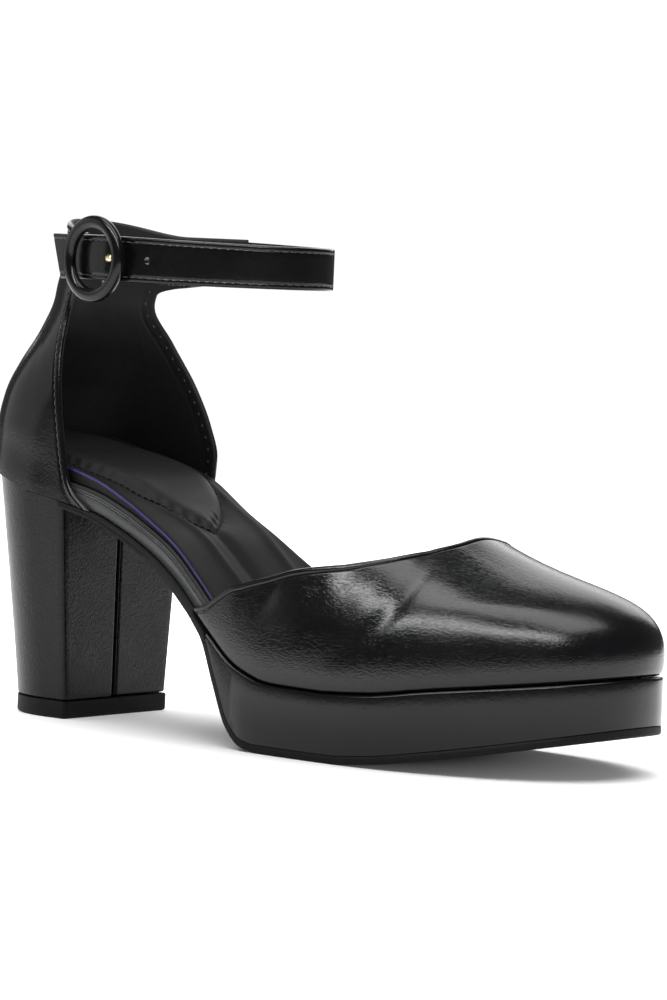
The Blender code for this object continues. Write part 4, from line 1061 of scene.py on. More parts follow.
# columns: share of the height, back, depth and width shares of the ankle, lateral and medial front
QUARTER = [
    (0.000, -1.000, 0.00, 0.00, 0.207, 0.211), (0.035, -1.002, 0.00, 0.00, 0.163, 0.209),
    (0.080, -1.000, 0.00, 0.02, 0.140, 0.208), (0.190, -0.972, 0.00, 0.04, 0.122, 0.212),
    (0.300, -0.890, 0.03, 0.10, 0.110, 0.184), (0.430, -0.705, 0.12, 0.30, 0.097, 0.134),
    (0.570, -0.470, 0.38, 0.58, 0.083, 0.078), (0.690, -0.336, 0.70, 0.84, 0.080, 0.046),
    (0.750, -0.312, 0.84, 0.93, 0.086, 0.054), (0.790, -0.285, 0.92, 0.97, 0.096, 0.095),
    (0.817, -0.268, 0.95, 1.00, 0.103, 0.180), (0.832, -0.258, 0.97, 1.00, 0.107, 0.300),
    (0.900, -0.225, 1.00, 1.00, 0.128, 0.300), (0.960, -0.210, 1.00, 1.00, 0.138, 0.300),
    (1.000, -0.205, 1.00, 1.00, 0.132, 0.296),
]
QUARTER_READS = smooth_columns(QUARTER)
SEAT_DEPTH = 1.035 * HEEL_REACH
last_lateral, last_medial = sides(0.0)


def collar_top(x):
    """Height of the collar's edge, falling from the back to the front."""
    fall = np.clip((x + HEEL_REACH * 0.3) / (HEEL_REACH * 0.9), 0.0, 1.0)
    return bed(-HEEL_REACH) + COLLAR_RISE - COLLAR_FRONT_DROP * fall * fall * (3 - 2 * fall)


def quarter_row(share, body, rim):
    """One row of the quarter's inner face, from the lateral to the medial front edge."""
    back, deep, wide, lateral_front, medial_front = [float(read(share)) for read in QUARTER_READS]
    stretch = 1 + deep * (ANKLE_DEPTH / SEAT_DEPTH - 1)
    narrow = 1 + wide * (ANKLE_WIDTH / SEAT_WIDTH - 1)
    halves = []
    for edge, front in ((last_lateral, lateral_front), (last_medial, medial_front)):
        plan_x = back * HEEL_REACH + (edge[:, 0] + HEEL_REACH) * stretch
        plan = np.stack([plan_x, edge[:, 1] * narrow], axis=1)
        way = travelled(plan)
        reach = float(np.interp(along(front), plan[:, 0], way))
        goal = np.concatenate([(reach - rim[-1]) * body, (reach - rim[::-1])[1:]])
        halves.append(read_line(goal, way, plan))
    row = np.vstack([halves[0][::-1], halves[1][1:]])
    low = bed(row[:, 0])
    return np.column_stack([row, low + share * (collar_top(row[:, 0]) - low)])


COLLAR_HEIGHT = float(collar_top(0.0) - bed(0.0))
quarter_shares = np.concatenate([
    np.linspace(0, 0.70, 44), np.linspace(0.71, 0.84, 30), np.linspace(0.85, 1 - 0.0044 / COLLAR_HEIGHT, 12),
    (1 - RIM_STEPS[::-1] / COLLAR_HEIGHT)[1:],
])
quarter_rows = [quarter_row(share, np.linspace(0, 1, 62), RIM_STEPS) for share in quarter_shares]
quarter_inner = np.array(quarter_rows).transpose(1, 0, 2)
quarter_edge = np.vstack([quarter_inner[0], quarter_inner[1:-1, -1], quarter_inner[-1][::-1]])
edge_far, _ = line_distance(quarter_inner.reshape(-1, 3), quarter_edge)
edge_far = edge_far.reshape(quarter_inner.shape[:2])
print("quarter grid", quarter_inner.shape, "collar height", round(COLLAR_HEIGHT, 4))

# %% [markdown]
# The counter is not perfectly even either: the leather dips a little above the heel seat and
# swells over the stiffener. Two soft lines carry that, in the same way as on the vamp.


# %% Make the quarter
def quarter_rib(share, level):
    """Point of the quarter's inner face, share from -1 lateral to 1 medial, at a share of its height."""
    column = int(round((share + 1) / 2 * (quarter_inner.shape[0] - 1)))
    return read_line(level, quarter_shares, quarter_inner[column])


QUARTER_SWELLS = [
    [(-0.80, 0.10, 0.0, 5.0), (-0.55, 0.12, -0.25, 5.0), (-0.30, 0.13, -0.25, 5.0), (0.0, 0.14, 0.0, 5.0)],
    [(-0.75, 0.34, 0.0, 8.0), (-0.50, 0.36, 0.30, 8.0), (-0.20, 0.36, 0.20, 8.0), (0.1, 0.34, 0.0, 8.0)],
]
quarter_relief = crease_depth(quarter_inner.reshape(-1, 3), QUARTER_SWELLS, quarter_rib)
quarter_relief = quarter_relief.reshape(quarter_inner.shape[:2]) * np.clip(edge_far / CREASE_FADE, 0, 1)
quarter_normal = grid_normals(quarter_inner)
inner_off, outer_off = rolled_wall(edge_far, UPPER_WALL)
quarter_out = quarter_inner + quarter_normal * (outer_off + quarter_relief)[:, :, None]
quarter_out[:, 0, 2] = bed(quarter_out[:, 0, 0])
LINING_FOLD_PLACE, LINING_FOLD_HEIGHT, LINING_FOLD_WIDTH = 0.0042, 0.00020, 0.00030
lining_fold = LINING_FOLD_HEIGHT * np.exp(-((edge_far - LINING_FOLD_PLACE) / LINING_FOLD_WIDTH) ** 2)
quarter_in = quarter_inner + quarter_normal * (inner_off + lining_fold)[:, :, None]
quarter_faces, quarter_paint = wall_faces(*quarter_inner.shape[:2])
make_piece(
    "quarter_leather_wall", np.vstack([quarter_out.reshape(-1, 3), quarter_in.reshape(-1, 3)]),
    quarter_faces, quarter_paint, [gloss_leather, lining_leather], ("quarter",), crisp=60,
)

# %% [markdown]
# Stitches run along the folded edges: outside along the lateral front edge and the collar, and
# inside along the medial front edge, where the lining is sewn.

# %% Stitches of the upper
SEAM_INDEX, LINING_SEAM_INDEX = 7, 12
# stitches as pitch, length and radius
OUTER_STITCH, LINING_STITCH = (0.0026, 0.0019, 0.00016), (0.0040, 0.0011, 0.00024)
columns_q, rows_q = quarter_inner.shape[:2]
collar_row = rows_q - 1 - SEAM_INDEX
lateral_cut = (SEAM_INDEX, slice(4, collar_row + 1))
collar_cut = (slice(SEAM_INDEX, columns_q - SEAM_INDEX), collar_row)
medial_cut = (columns_q - 1 - LINING_SEAM_INDEX, slice(6, collar_row - 34))
outer_rows = [stitch_row(quarter_out[c], quarter_normal[c], *OUTER_STITCH) for c in (lateral_cut, collar_cut)]
inner_rows = [stitch_row(quarter_in[medial_cut], -quarter_normal[medial_cut], *LINING_STITCH)]
make_stitches("upper_stitches", outer_rows, thread)
make_stitches("lining_stitches", inner_rows, thread)

# %% [markdown]
# ## Strap
# The ankle strap leaves the medial wing, goes round the front of the ankle and through the
# buckle, and ends in a loose slanted tail. Its route is drawn in plan, close round the ankle and
# bowed out in front. A section with rounded edges and two stitch grooves is carried along it.

# %% Route of the strap
STRAP_WIDTH, STRAP_FRONT_WIDTH, STRAP_THICKNESS = 0.0139, 0.0130, 0.0020
STRAP_REACH, STRAP_START, STRAP_FRONT_DROP, STRAP_BELOW_COLLAR = 0.0880, 0.0240, 0.0008, 0.0005
TAIL_LENGTH, TAIL_SLANT, STRAP_LEVEL = 0.0258, 0.0055, 0.92
BUCKLE_DIAMETER, BUCKLE_WINDOW, BUCKLE_THICKNESS, BUCKLE_DROP = 0.0266, 0.0183, 0.0030, 0.0004
BUCKLE_PLACE, BAR_DIAMETER, PRONG_DIAMETER, PRONG_PLACE = 0.0282, 0.0016, 0.0024, 0.0052
PUNCH_DIAMETER, PUNCH_PITCH = 0.0022, 0.0127
CHAPE_THICKNESS, CHAPE_LENGTH, CHAPE_WIDTH = 0.0011, 0.0120, 0.0123


def ankle_side(x, side):
    """Half width of the last round the ankle, at the strap's level."""
    back, deep, wide = [float(read(STRAP_LEVEL)) for read in QUARTER_READS[:3]]
    edge = last_lateral if side < 0 else last_medial
    stretch = 1 + deep * (ANKLE_DEPTH / SEAT_DEPTH - 1)
    narrow = 1 + wide * (ANKLE_WIDTH / SEAT_WIDTH - 1)
    return np.interp(-HEEL_REACH + (x - back * HEEL_REACH) / stretch, edge[:, 0], edge[:, 1]) * narrow


def strap_route():
    """Plan of the ankle where the strap lies, from the medial wing to the buckle side."""
    back, deep, _ = [float(read(STRAP_LEVEL)) for read in QUARTER_READS[:3]]
    widest = back * HEEL_REACH + HEEL_REACH * (1 + deep * (ANKLE_DEPTH / SEAT_DEPTH - 1))
    rim = STRAP_REACH - STRAP_THICKNESS - UPPER_WALL
    half, other = ankle_side(widest, 1), -ankle_side(widest, -1)
    start_x = STRAP_START + (widest - STRAP_START) * np.arange(40) / 40
    angle = math.pi * np.arange(161) / 160
    side = np.where(angle < math.pi / 2, half, other)
    end_x = widest - widest * np.arange(1, 90) / 89
    return np.vstack([
        np.stack([start_x, ankle_side(start_x, 1)], axis=1),
        np.stack([widest + (rim - widest) * np.sin(angle), side * np.cos(angle)], axis=1),
        np.stack([end_x, ankle_side(end_x, -1)], axis=1),
    ])


ROUTE = strap_route()
ROUTE_TRAVEL = travelled(ROUTE)
route_ahead = np.gradient(ROUTE, ROUTE_TRAVEL, axis=0)
route_ahead /= np.linalg.norm(route_ahead, axis=1)[:, None]
ROUTE_OUT = np.stack([route_ahead[:, 1], -route_ahead[:, 0]], axis=1)
if ROUTE_OUT[len(ROUTE) // 3, 0] < 0:
    ROUTE_OUT = -ROUTE_OUT
BUCKLE_TRAVEL = float(ROUTE_TRAVEL[-1] - np.interp(
    BUCKLE_PLACE, ROUTE[::-1, 0][:89], (ROUTE_TRAVEL[-1] - ROUTE_TRAVEL[::-1])[:89]
))
LIFT_LINE = smooth_line([
    (-0.80, 0.78), (-0.42, 0.80), (-0.22, 0.90), (0.0, 1.0), (0.10, 1.0), (0.36, 0.45), (0.60, 0.05), (0.75, 0.0),
])


def strap_lift(ahead):
    """Lift of the strap over chape and bar, at a distance in front of the bar."""
    return (BAR_DIAMETER + GAP) * float(LIFT_LINE(ahead / BUCKLE_DIAMETER))


def route_point(travel, lift):
    """Plan point at a distance along the strap's route, raised outwards, and its outward normal."""
    spot, out = read_line(travel, ROUTE_TRAVEL, ROUTE), read_line(travel, ROUTE_TRAVEL, ROUTE_OUT)
    return np.array([*(spot + out * lift), 0.0]), np.array([*(out / np.linalg.norm(out)), 0.0])


def strap_width(travel):
    """Width of the strap, a little narrower over the instep."""
    ease = math.sin(min(travel / BUCKLE_TRAVEL, 1.0) * math.pi) ** 2
    return STRAP_WIDTH + (STRAP_FRONT_WIDTH - STRAP_WIDTH) * ease


def strap_middle(travel):
    """Height of the strap's middle line."""
    fall = math.sin(min(travel / BUCKLE_TRAVEL, 1.0) * math.pi)
    return float(collar_top(BUCKLE_PLACE)) - STRAP_BELOW_COLLAR - STRAP_WIDTH / 2 - STRAP_FRONT_DROP * fall


STRAP_BASE = UPPER_WALL + GAP
print("strap runs", round(BUCKLE_TRAVEL * 1000, 1), "mm to its buckle")

# %% [markdown]
# The section goes once round the strap: up the outside with its two grooves, and down the inside.

# %% Make the strap
# columns: distance in from the edge in millimetres, outward share of the thickness
BAND_OUTSIDE = [
    (0.00, 0.50), (0.03, 0.66), (0.12, 0.81), (0.28, 0.92), (0.50, 0.975), (0.90, 1.00), (1.25, 0.995),
    (1.45, 0.96), (1.60, 0.925), (1.75, 0.96), (1.95, 0.99), (2.60, 1.00), (4.00, 1.00),
]
BAND_INSIDE = [(0.03, 0.34), (0.12, 0.19), (0.28, 0.08), (0.50, 0.025), (0.90, 0.0), (2.6, 0.0)]


def band_section(width, thickness):
    """Section of a sewn band as (height, out) pairs, once round."""
    low = [(-width / 2 + 0.001 * inwards, out * thickness) for inwards, out in BAND_OUTSIDE]
    high = [(-h, out) for h, out in low[::-1]]
    inside = [(width / 2 - 0.001 * inwards, out * thickness) for inwards, out in BAND_INSIDE]
    return low + [(0.0, thickness)] + high + inside + [(-h, out) for h, out in inside[::-1]]


def loft(name, sections, finishes, paint, stands_for, crisp=50):
    """Closed body through sections of equal point counts, with a small fan on each end."""
    sections = np.array(sections)
    count, around = sections.shape[:2]
    points = list(sections.reshape(-1, 3)) + [sections[0].mean(axis=0), sections[-1].mean(axis=0)]
    faces, marks = [], []
    for i in range(count - 1):
        for k in range(around):
            j = (k + 1) % around
            faces.append((i * around + k, i * around + j, (i + 1) * around + j, (i + 1) * around + k))
            marks.append(paint[k] if isinstance(paint, list) else paint)
    for first, centre in ((0, count * around), ((count - 1) * around, count * around + 1)):
        faces += [(first + k, first + (k + 1) % around, centre) for k in range(around)]
        marks += [0] * around
    return make_piece(name, points, faces, marks, finishes, stands_for, crisp)


END_ROUND, FINE_PART, STRAP_STITCH = 0.0011, 0.022, (0.0027, 0.0021, 0.00017)


def rounded_end(distance):
    """Share of the strap's thickness at a distance from one of its ends."""
    return math.sqrt(1 - (1 - min(max(distance / END_ROUND, 0.0), 1.0)) ** 2)


leaves = 0.30 * BUCKLE_DIAMETER
fine_from = BUCKLE_TRAVEL - FINE_PART
strap_travel = np.concatenate([
    np.arange(0, fine_from, 0.0016), np.arange(fine_from, BUCKLE_TRAVEL + leaves, 0.0008),
])
strap_spots = []
for travel in strap_travel:
    point, out = route_point(travel, STRAP_BASE + strap_lift(BUCKLE_TRAVEL - travel))
    strap_spots.append((travel, point, out))
travel, point, out = strap_spots[-1]
direction = point - strap_spots[-2][1]
direction /= np.linalg.norm(direction)
tail = TAIL_LENGTH - leaves
for reach in np.concatenate([np.linspace(0, tail - 0.0012, 24)[1:], tail - np.array([0.0008, 0.0004, 0.00015, 0.0])]):
    strap_spots.append((travel + reach, point + direction * reach, out))
strap_sections, strap_rails = [], ([], [])
for number, (travel, point, out) in enumerate(strap_spots):
    width, middle = strap_width(travel), strap_middle(travel)
    left_over = strap_spots[-1][0] - travel
    slant = TAIL_SLANT * max(0.0, 1 - left_over / (TAIL_SLANT * 2.2))
    flat = 0.25 + 0.75 * min(rounded_end(left_over), rounded_end(travel))
    before = strap_spots[number - 1][1] if number else point
    backwards = (point - before) / max(np.linalg.norm(point - before), 1e-9)
    section = []
    for h, n in band_section(width, STRAP_THICKNESS):
        level = (n - STRAP_THICKNESS / 2) * flat + STRAP_THICKNESS / 2
        spot = point - backwards * slant * (0.5 - h / width) + out * level
        section.append((spot[0], spot[1], middle + h))
    strap_sections.append(section)
    for rail, side in zip(strap_rails, (-1, 1)):
        h = side * (width / 2 - 0.0016)
        spot = point - backwards * slant * (0.5 - h / width) + out * STRAP_THICKNESS * 0.945
        rail.append((spot[0], spot[1], middle + h, *out))
outside_count = 2 * len(BAND_OUTSIDE) + 1
strap_paint = [0] * (outside_count - 1) + [0] * 4 + [1] * 5 + [0] * 4
strap_paint += [0] * (len(strap_sections[0]) - len(strap_paint))
strap = loft(
    "sewn_ankle_strap", strap_sections, [gloss_leather, lining_leather], strap_paint,
    ("ankle_strap",),
)


def punch(piece, ahead, diameter):
    """Cut a round hole through the strap at a distance in front of the bar."""
    at = BUCKLE_TRAVEL - ahead
    middle, out_way = route_point(at, STRAP_BASE + strap_lift(ahead) + STRAP_THICKNESS / 2)
    middle[2] = strap_middle(at)
    bm = bmesh.new()
    bmesh.ops.create_cone(
        bm, cap_ends=True, segments=28, radius1=diameter / 2, radius2=diameter / 2, depth=STRAP_THICKNESS * 4
    )
    mesh = bpy.data.meshes.new("punch")
    bm.to_mesh(mesh)
    bm.free()
    cutter = add_object("punch", mesh)
    turn = Vector(out_way).to_track_quat("Z", "Y").to_matrix().to_4x4()
    cutter.matrix_world = Matrix.Translation(Vector(middle)) @ turn
    cut = piece.modifiers.new("hole", "BOOLEAN")
    cut.operation, cut.solver, cut.object = "DIFFERENCE", "EXACT", cutter
    bpy.context.view_layer.update()
    cleared = bpy.data.meshes.new_from_object(piece.evaluated_get(bpy.context.evaluated_depsgraph_get()))
    piece.modifiers.clear()
    piece.data = cleared
    bpy.data.objects.remove(cutter, do_unlink=True)


punch(strap, PRONG_PLACE, PRONG_DIAMETER + 2 * GAP)
punch(strap, PRONG_PLACE + PUNCH_PITCH, PUNCH_DIAMETER)
rails = [np.array(rail[3:-4]) for rail in strap_rails]
make_stitches(
    "strap_stitches", [stitch_row(rail[:, :3], rail[:, 3:], *STRAP_STITCH) for rail in rails],
    thread,
)

# %% [markdown]
# ## Chape
# Behind the buckle a short end of leather is sewn to the collar and turned round the bar. It is
# the same kind of band as the strap, only thinner.

# %% Make the chape
chape_sections = []
for travel in np.linspace(0, CHAPE_LENGTH, 16):
    point, out = route_point(BUCKLE_TRAVEL + BAR_DIAMETER / 2 + GAP + travel, STRAP_BASE)
    section = []
    for h, n in band_section(CHAPE_WIDTH, CHAPE_THICKNESS):
        spot = point + out * n
        section.append((spot[0], spot[1], strap_middle(BUCKLE_TRAVEL) + h))
    chape_sections.append(section)
loft("chape_band", chape_sections, [gloss_leather], 0, ("buckle_chape",))

# %% [markdown]
# ## Buckle
# The buckle is a round frame covered with the same leather. Its face is softly domed, so one
# section turned round the middle makes it. The bar behind it stays as packed and only gets the
# metal. The prong is a bent gold rod whose end lies on the frame's edge.


# %% Make the buckle ring
def buckle_place(along_strap, up, outwards):
    """Point given in the buckle's own directions."""
    point, out = route_point(BUCKLE_TRAVEL, 0.0)
    point[2] = strap_middle(BUCKLE_TRAVEL)
    ahead = np.array([-out[1], out[0], 0.0])
    if ahead[0] < 0:
        ahead = -ahead
    return point + ahead * along_strap + out * outwards + np.array([0, 0, up])


RING_BACK = STRAP_BASE + strap_lift(-0.4 * BUCKLE_DIAMETER) + STRAP_THICKNESS + 3 * GAP
ring_outer, ring_inner = BUCKLE_DIAMETER / 2, BUCKLE_WINDOW / 2
ring_width = ring_outer - ring_inner
# columns: share of the ring's width from the window outwards, share of its thickness
RING_PROFILE = [
    (0.00, 0.30), (0.03, 0.16), (0.12, 0.04), (0.25, 0.00), (0.75, 0.00), (0.88, 0.04), (0.97, 0.16),
    (1.00, 0.30), (1.00, 0.52), (0.985, 0.66), (0.94, 0.78), (0.86, 0.87), (0.74, 0.945), (0.60, 0.99),
    (0.48, 1.00), (0.36, 0.985), (0.24, 0.935), (0.13, 0.85), (0.055, 0.74), (0.01, 0.60),
]
ring_segments = 96
ring_points = []
for i in range(ring_segments):
    angle = 2 * math.pi * i / ring_segments
    for across_share, out_share in RING_PROFILE:
        radius = ring_inner + ring_width * across_share
        ring_points.append(buckle_place(
            radius * math.cos(angle), radius * math.sin(angle) - BUCKLE_DROP,
            RING_BACK + BUCKLE_THICKNESS * out_share,
        ))
ring_faces = []
profile = len(RING_PROFILE)
for i in range(ring_segments):
    j = (i + 1) % ring_segments
    for k in range(profile):
        n = (k + 1) % profile
        ring_faces.append((i * profile + k, j * profile + k, j * profile + n, i * profile + n))
make_piece(
    "covered_buckle_ring", ring_points, ring_faces, [0] * len(ring_faces), [gloss_leather],
    ("buckle_ring",),
)

# %% [markdown]
# The prong is a rod of changing thickness through a few points. Between the points a smooth
# line is followed, so that its bend over the frame is even.

# %% Make the prong
# columns: share of the distance to its hole, share of the distance out to the ring, thickness
PRONG = [
    (0.365, 0.250, 0.80), (0.654, 0.238, 1.00), (0.885, 0.325, 1.00), (0.981, 0.500, 1.00),
    (1.038, 0.700, 1.00), (1.192, 0.862, 1.04), (1.423, 0.912, 1.04), (1.615, 0.912, 0.85),
    (1.692, 0.912, 0.45),
]
prong_level = RING_BACK + BUCKLE_THICKNESS / 2
prong_marks = np.array([
    [*buckle_place(ahead * PRONG_PLACE, 0.0, out * prong_level), thick * PRONG_DIAMETER / 2]
    for ahead, out, thick in PRONG
])
prong_way = travelled(prong_marks[:, :3])
prong_reads = smooth_columns(np.column_stack([prong_way, prong_marks]))
prong_spots = np.concatenate([np.linspace(0, prong_way[-2], 34), np.linspace(prong_way[-2], prong_way[-1], 7)[1:]])
prong_line = np.stack([read(prong_spots) for read in prong_reads], axis=1)
prong_sections = []
for i, spot in enumerate(prong_line):
    ahead = prong_line[min(i + 1, len(prong_line) - 1), :3] - prong_line[max(i - 1, 0), :3]
    ahead /= np.linalg.norm(ahead)
    aside = np.array([0.0, 0.0, 1.0])
    over = np.cross(aside, ahead)
    prong_sections.append([
        spot[:3] + spot[3] * (aside * math.cos(a) + over * math.sin(a))
        for a in np.linspace(0, 2 * math.pi, 25)[:-1]
    ])
loft("gold_prong", prong_sections, [gold_plate], 0, ("buckle_prong",))
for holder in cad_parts["buckle_bar"].material_slots:
    holder.material = gold_plate

# %% [markdown]
# ## Heel
# The block heel is wood or plastic under a leather cover. The cover is lapped down the middle of
# the breast: one edge lies over the other, with a narrow groove between. The plan is drawn at
# each height and the sections are joined, so the block flares towards the seat.

# %% Make the heel
HEEL_WIDTH_TOP, HEEL_WIDTH_BOTTOM, HEEL_SIDE_TOP, HEEL_SIDE_BOTTOM = 0.0590, 0.0494, 0.0145, 0.0085
HEEL_BACK_BOTTOM, HEEL_BACK_TOP, TOP_PIECE_THICKNESS = 0.0178, 0.0260, 0.0056
HEEL_LAP, HEEL_SEAM_SIDE, HEEL_ROUND = 0.0008, -0.0024, 0.0010
LAP_START, LAP_END, HEEL_SQUARENESS = 0.0008, 0.0038, 2.12
# columns: in from the front of the medial cover and across from the lap's edge, in millimetres
LAP_PROFILE = [
    (0.00, 3.70), (0.00, 3.55), (0.15, 3.36), (0.55, 3.28), (0.95, 3.24), (0.95, 2.85), (0.50, 2.70),
    (0.12, 2.55), (0.12, 2.35), (0.55, 2.15), (1.20, 2.05), (1.30, 1.60), (1.30, 0.40), (0.90, 0.10),
    (0.20, 0.02), (-0.30, 0.0), (-0.58, -0.06), (-0.74, -0.24), (-0.80, -0.52), (-0.80, -0.8),
]


def heel_plan(share, lapped, inset=0.0):
    """Plan of the heel at a share of its height, once round from the lap."""
    half = (HEEL_WIDTH_BOTTOM + (HEEL_WIDTH_TOP - HEEL_WIDTH_BOTTOM) * share) / 2 - inset
    back = HEEL_BACK_BOTTOM + (HEEL_BACK_TOP - HEEL_BACK_BOTTOM) * share ** 1.15 - inset
    flat_side = HEEL_SIDE_BOTTOM + (HEEL_SIDE_TOP - HEEL_SIDE_BOTTOM) * share
    straight = HEEL_FRONT - flat_side
    front, corner, seam = HEEL_FRONT - inset, HEEL_ROUND, HEEL_SEAM_SIDE
    points = [(front, seam - LAP_START + (corner - half - seam + LAP_START) * k / 12) for k in range(1, 12)]
    for k in range(5):
        turn = math.pi / 2 * k / 4
        points.append((front - corner * (1 - math.cos(turn)), -half + corner * (1 - math.sin(turn))))
    points += [(front - corner - (flat_side - corner) * k / 6, -half) for k in range(1, 6)]
    for i in range(61):
        angle = math.pi * i / 60
        x = straight - (straight + back) * abs(math.sin(angle)) ** (2 / HEEL_SQUARENESS)
        points.append((x, -half * math.copysign(abs(math.cos(angle)) ** (2 / HEEL_SQUARENESS), math.cos(angle))))
    points += [(front - corner - (flat_side - corner) * (6 - k) / 6, half) for k in range(1, 6)]
    lap = HEEL_LAP if lapped else 0.0
    for k in range(5):
        turn = math.pi / 2 * k / 4
        points.append((front - lap - corner * (1 - math.sin(turn)), half - corner * (1 - math.cos(turn))))
    points += [(front - lap, half - corner + (seam + LAP_END - half + corner) * k / 12) for k in range(1, 12)]
    for deep, across in LAP_PROFILE:
        at = deep if lapped else 0.0
        points.append((front - lap - 0.001 * at, seam + 0.001 * across))
    return points


heel_bottom = TOP_PIECE_THICKNESS + GAP
heel_sections = []
for share, inset in [(0, 0.0005), (0.002, 0.0002), (0.006, 0.0)] + [(s, 0.0) for s in np.linspace(0.03, 1, 28)]:
    heel_sections.append([
        (x, y, heel_bottom + (float(bed(x)) - 2 * GAP - heel_bottom) * share)
        for x, y in heel_plan(share, True, inset)
    ])
loft("covered_block_heel", heel_sections, [heel_leather], 0, ("heel_block",), crisp=45)

lift_sections = []
for z, inset in (
    (0.0, 0.0007), (0.0002, 0.0003), (0.0007, 0.0), (0.0030, 0.0), (0.0053, 0.0), (TOP_PIECE_THICKNESS, 0.0003),
):
    lift_sections.append([(x, y, z) for x, y in heel_plan(0.0, False, inset)])
loft("rubber_top_piece", lift_sections, [edge_rubber], 0, ("top_piece",), crisp=45)

# %% [markdown]
# ## Floor
# The shoe stands on a plain white studio floor. It is so brightly lit that only the soft shadow
# under the shoe shows. Its glow is painted: the emission grows with the distance from a point under
# the ball, by a spherical gradient turned over by a Map Range, so far out the floor glows pure
# white, while round the shoe it stays dim, a painted shade round the real shadow.

# %% Floor
FLOOR_REACH = 1.1
floor_mesh = bpy.data.meshes.new("studio_floor")
floor_corners = [(-1, -1), (1, -1), (1, 1), (-1, 1)]
floor_mesh.from_pydata([(x * FLOOR_REACH, y * FLOOR_REACH, 0) for x, y in floor_corners], [], [(0, 1, 2, 3)])
floor = add_object("studio_floor", floor_mesh)
floor_finish, ft, floor_shader = new_material(
    "floor_with_painted_glow", {"Specular IOR Level": 0.1, "Base Color": (0.86, 0.86, 0.86, 1), "Emission Strength": 1.0}
)
floor_noise = put(ft, "ShaderNodeTexNoise", -600, 0, {"Scale": 40.0})
floor_range = put(ft, "ShaderNodeMapRange", -300, 0, {"To Min": 0.80, "To Max": 0.90})
floor_place = put(ft, "ShaderNodeTexCoord", -1000, -300)
floor_shift = put(ft, "ShaderNodeMapping", -800, -300, {"Location": (-0.44, 0.0, 0.0), "Scale": (4.0, 4.0, 4.0)})
# Painted glow and shade: this gradient keeps the floor's emission low near the shoe and high far out.
painted_shade_gradient = put(ft, "ShaderNodeTexGradient", -600, -300, gradient_type="SPHERICAL")
floor_painted_glow = put(ft, "ShaderNodeMapRange", -400, -300, {"From Max": 0.85, "To Min": 0.70, "To Max": 0.02})
join(
    ft,
    (floor_noise, "Fac", floor_range, "Value"), (floor_range, "Result", floor_shader, "Roughness"),
    (floor_place, "Object", floor_shift, "Vector"), (floor_shift, "Vector", painted_shade_gradient, "Vector"),
    (painted_shade_gradient, "Fac", floor_painted_glow, "Value"), (floor_painted_glow, "Result", floor_shader, "Emission Color"),
)
floor_mesh.materials.append(floor_finish)
print("floor", FLOOR_REACH * 2, "m wide")

# %% [markdown]
# ## Light
# Black gloss leather shows only what it reflects. A large soft light nearly overhead draws the
# bright band over the toe, a wide dim one behind gives the edges, and the surroundings stay
# darker. The background itself is white for the camera, as in a catalogue picture.


# %% Light
LIT_SPOT = Vector((0.09, 0.0, 0.05))


def soft_light(name, direction, distance, length, width, power, lengthwise, mirrored=True):
    """Rectangular soft light aimed at the shoe: seen only in reflections, or only lighting it."""
    data = bpy.data.lights.new(name, "AREA")
    data.shape = "RECTANGLE"
    data.size, data.size_y = length, width
    data.energy = power
    lamp = add_object(name, data)
    way = Vector(direction).normalized()
    aside = (Vector(lengthwise) - way * Vector(lengthwise).dot(way)).normalized()
    turn = Matrix((aside, way.cross(aside), way)).transposed().to_4x4()
    lamp.matrix_world = Matrix.Translation(LIT_SPOT + way * distance) @ turn
    lamp.visible_camera = False
    lamp.visible_diffuse = not mirrored
    lamp.visible_glossy = mirrored


soft_light("overhead_box", (0.10, -0.08, 0.99), 1.10, 1.40, 0.66, 13.0, (1.0, 0.15, 0.0))
soft_light("overhead_strip", (0.14, -0.68, 0.72), 1.05, 1.50, 0.20, 14.0, (1.0, 0.15, 0.0))
soft_light("back_panel", (-0.50, 0.72, 0.48), 1.40, 1.60, 0.90, 9.0, (0.77, 0.63, 0.0))
soft_light("left_panel", (-0.93, -0.30, 0.22), 1.50, 1.20, 0.90, 2.5, (0.3, -0.95, 0.0))
soft_light("room_light", (-0.03, 0.07, 1.0), 1.6, 2.8, 2.8, 84.0, (1.0, 0.0, 0.0), mirrored=False)

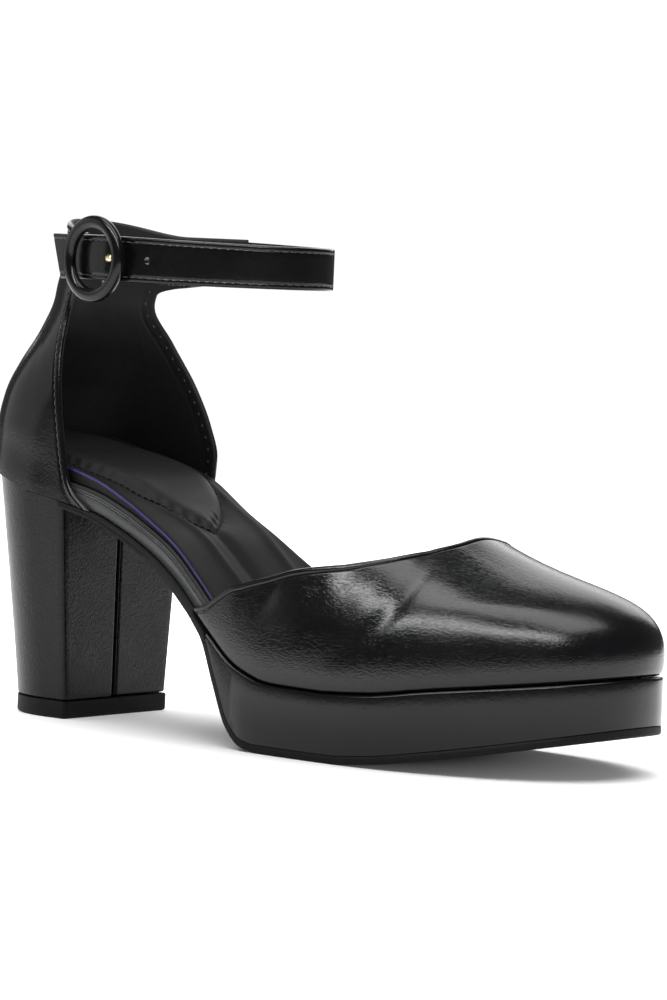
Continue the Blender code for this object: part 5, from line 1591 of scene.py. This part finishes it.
world = bpy.data.worlds.new("white_room")
bpy.context.scene.world = world
world.use_nodes = True
world_tree = world.node_tree
for node in list(world_tree.nodes):
    world_tree.nodes.remove(node)
world_out = put(world_tree, "ShaderNodeOutputWorld", 400, 0)
world_mix = put(world_tree, "ShaderNodeMixShader", 200, 0)
seen = put(world_tree, "ShaderNodeBackground", 0, -100, {"Color": (1, 1, 1, 1), "Strength": 1.05})
felt = put(world_tree, "ShaderNodeBackground", 0, 100, {"Color": (0.97, 0.98, 1.0, 1), "Strength": 0.09})
ray = put(world_tree, "ShaderNodeLightPath", -200, 200)
join(
    world_tree,
    (ray, "Is Camera Ray", world_mix, "Fac"), (felt, "Background", world_mix, 1),
    (seen, "Background", world_mix, 2), (world_mix, "Shader", world_out, "Surface"),
)
bpy.context.scene.view_settings.view_transform = "Standard"

# %% [markdown]
# ## Camera
# The picture was taken from low down, in front of the shoe's outer side, with a long lens and a
# slight roll. The camera is placed by its angles round a point inside the shoe.

# %% Camera and finish
AZIMUTH, ELEVATION, ROLL = math.radians(37.85), math.radians(3.35), math.radians(2.45)
LOOK_AT, AWAY = Vector((0.0883, 0.0036, 0.07355)), 1.300
FOCAL_LENGTH, SHIFT_X, SHIFT_Y = 153.6, 0.0168, -0.0017
back_way = Vector((
    math.sin(AZIMUTH) * math.cos(ELEVATION), -math.cos(AZIMUTH) * math.cos(ELEVATION), math.sin(ELEVATION)
))
right_way = Vector((math.cos(AZIMUTH), math.sin(AZIMUTH), 0.0))
up_way = back_way.cross(right_way)
rolled_right = right_way * math.cos(ROLL) + up_way * math.sin(ROLL)
rolled_up = -right_way * math.sin(ROLL) + up_way * math.cos(ROLL)
lens = bpy.data.cameras.new("camera")
lens.sensor_fit = "VERTICAL"
lens.sensor_width, lens.sensor_height = 36.0, 36.0
lens.lens = FOCAL_LENGTH
lens.shift_x, lens.shift_y = SHIFT_X, SHIFT_Y
camera = add_object("camera", lens)
turned = Matrix((rolled_right, rolled_up, back_way)).transposed().to_4x4()
camera.matrix_world = Matrix.Translation(LOOK_AT + back_way * AWAY) @ turned
bpy.context.scene.camera = camera
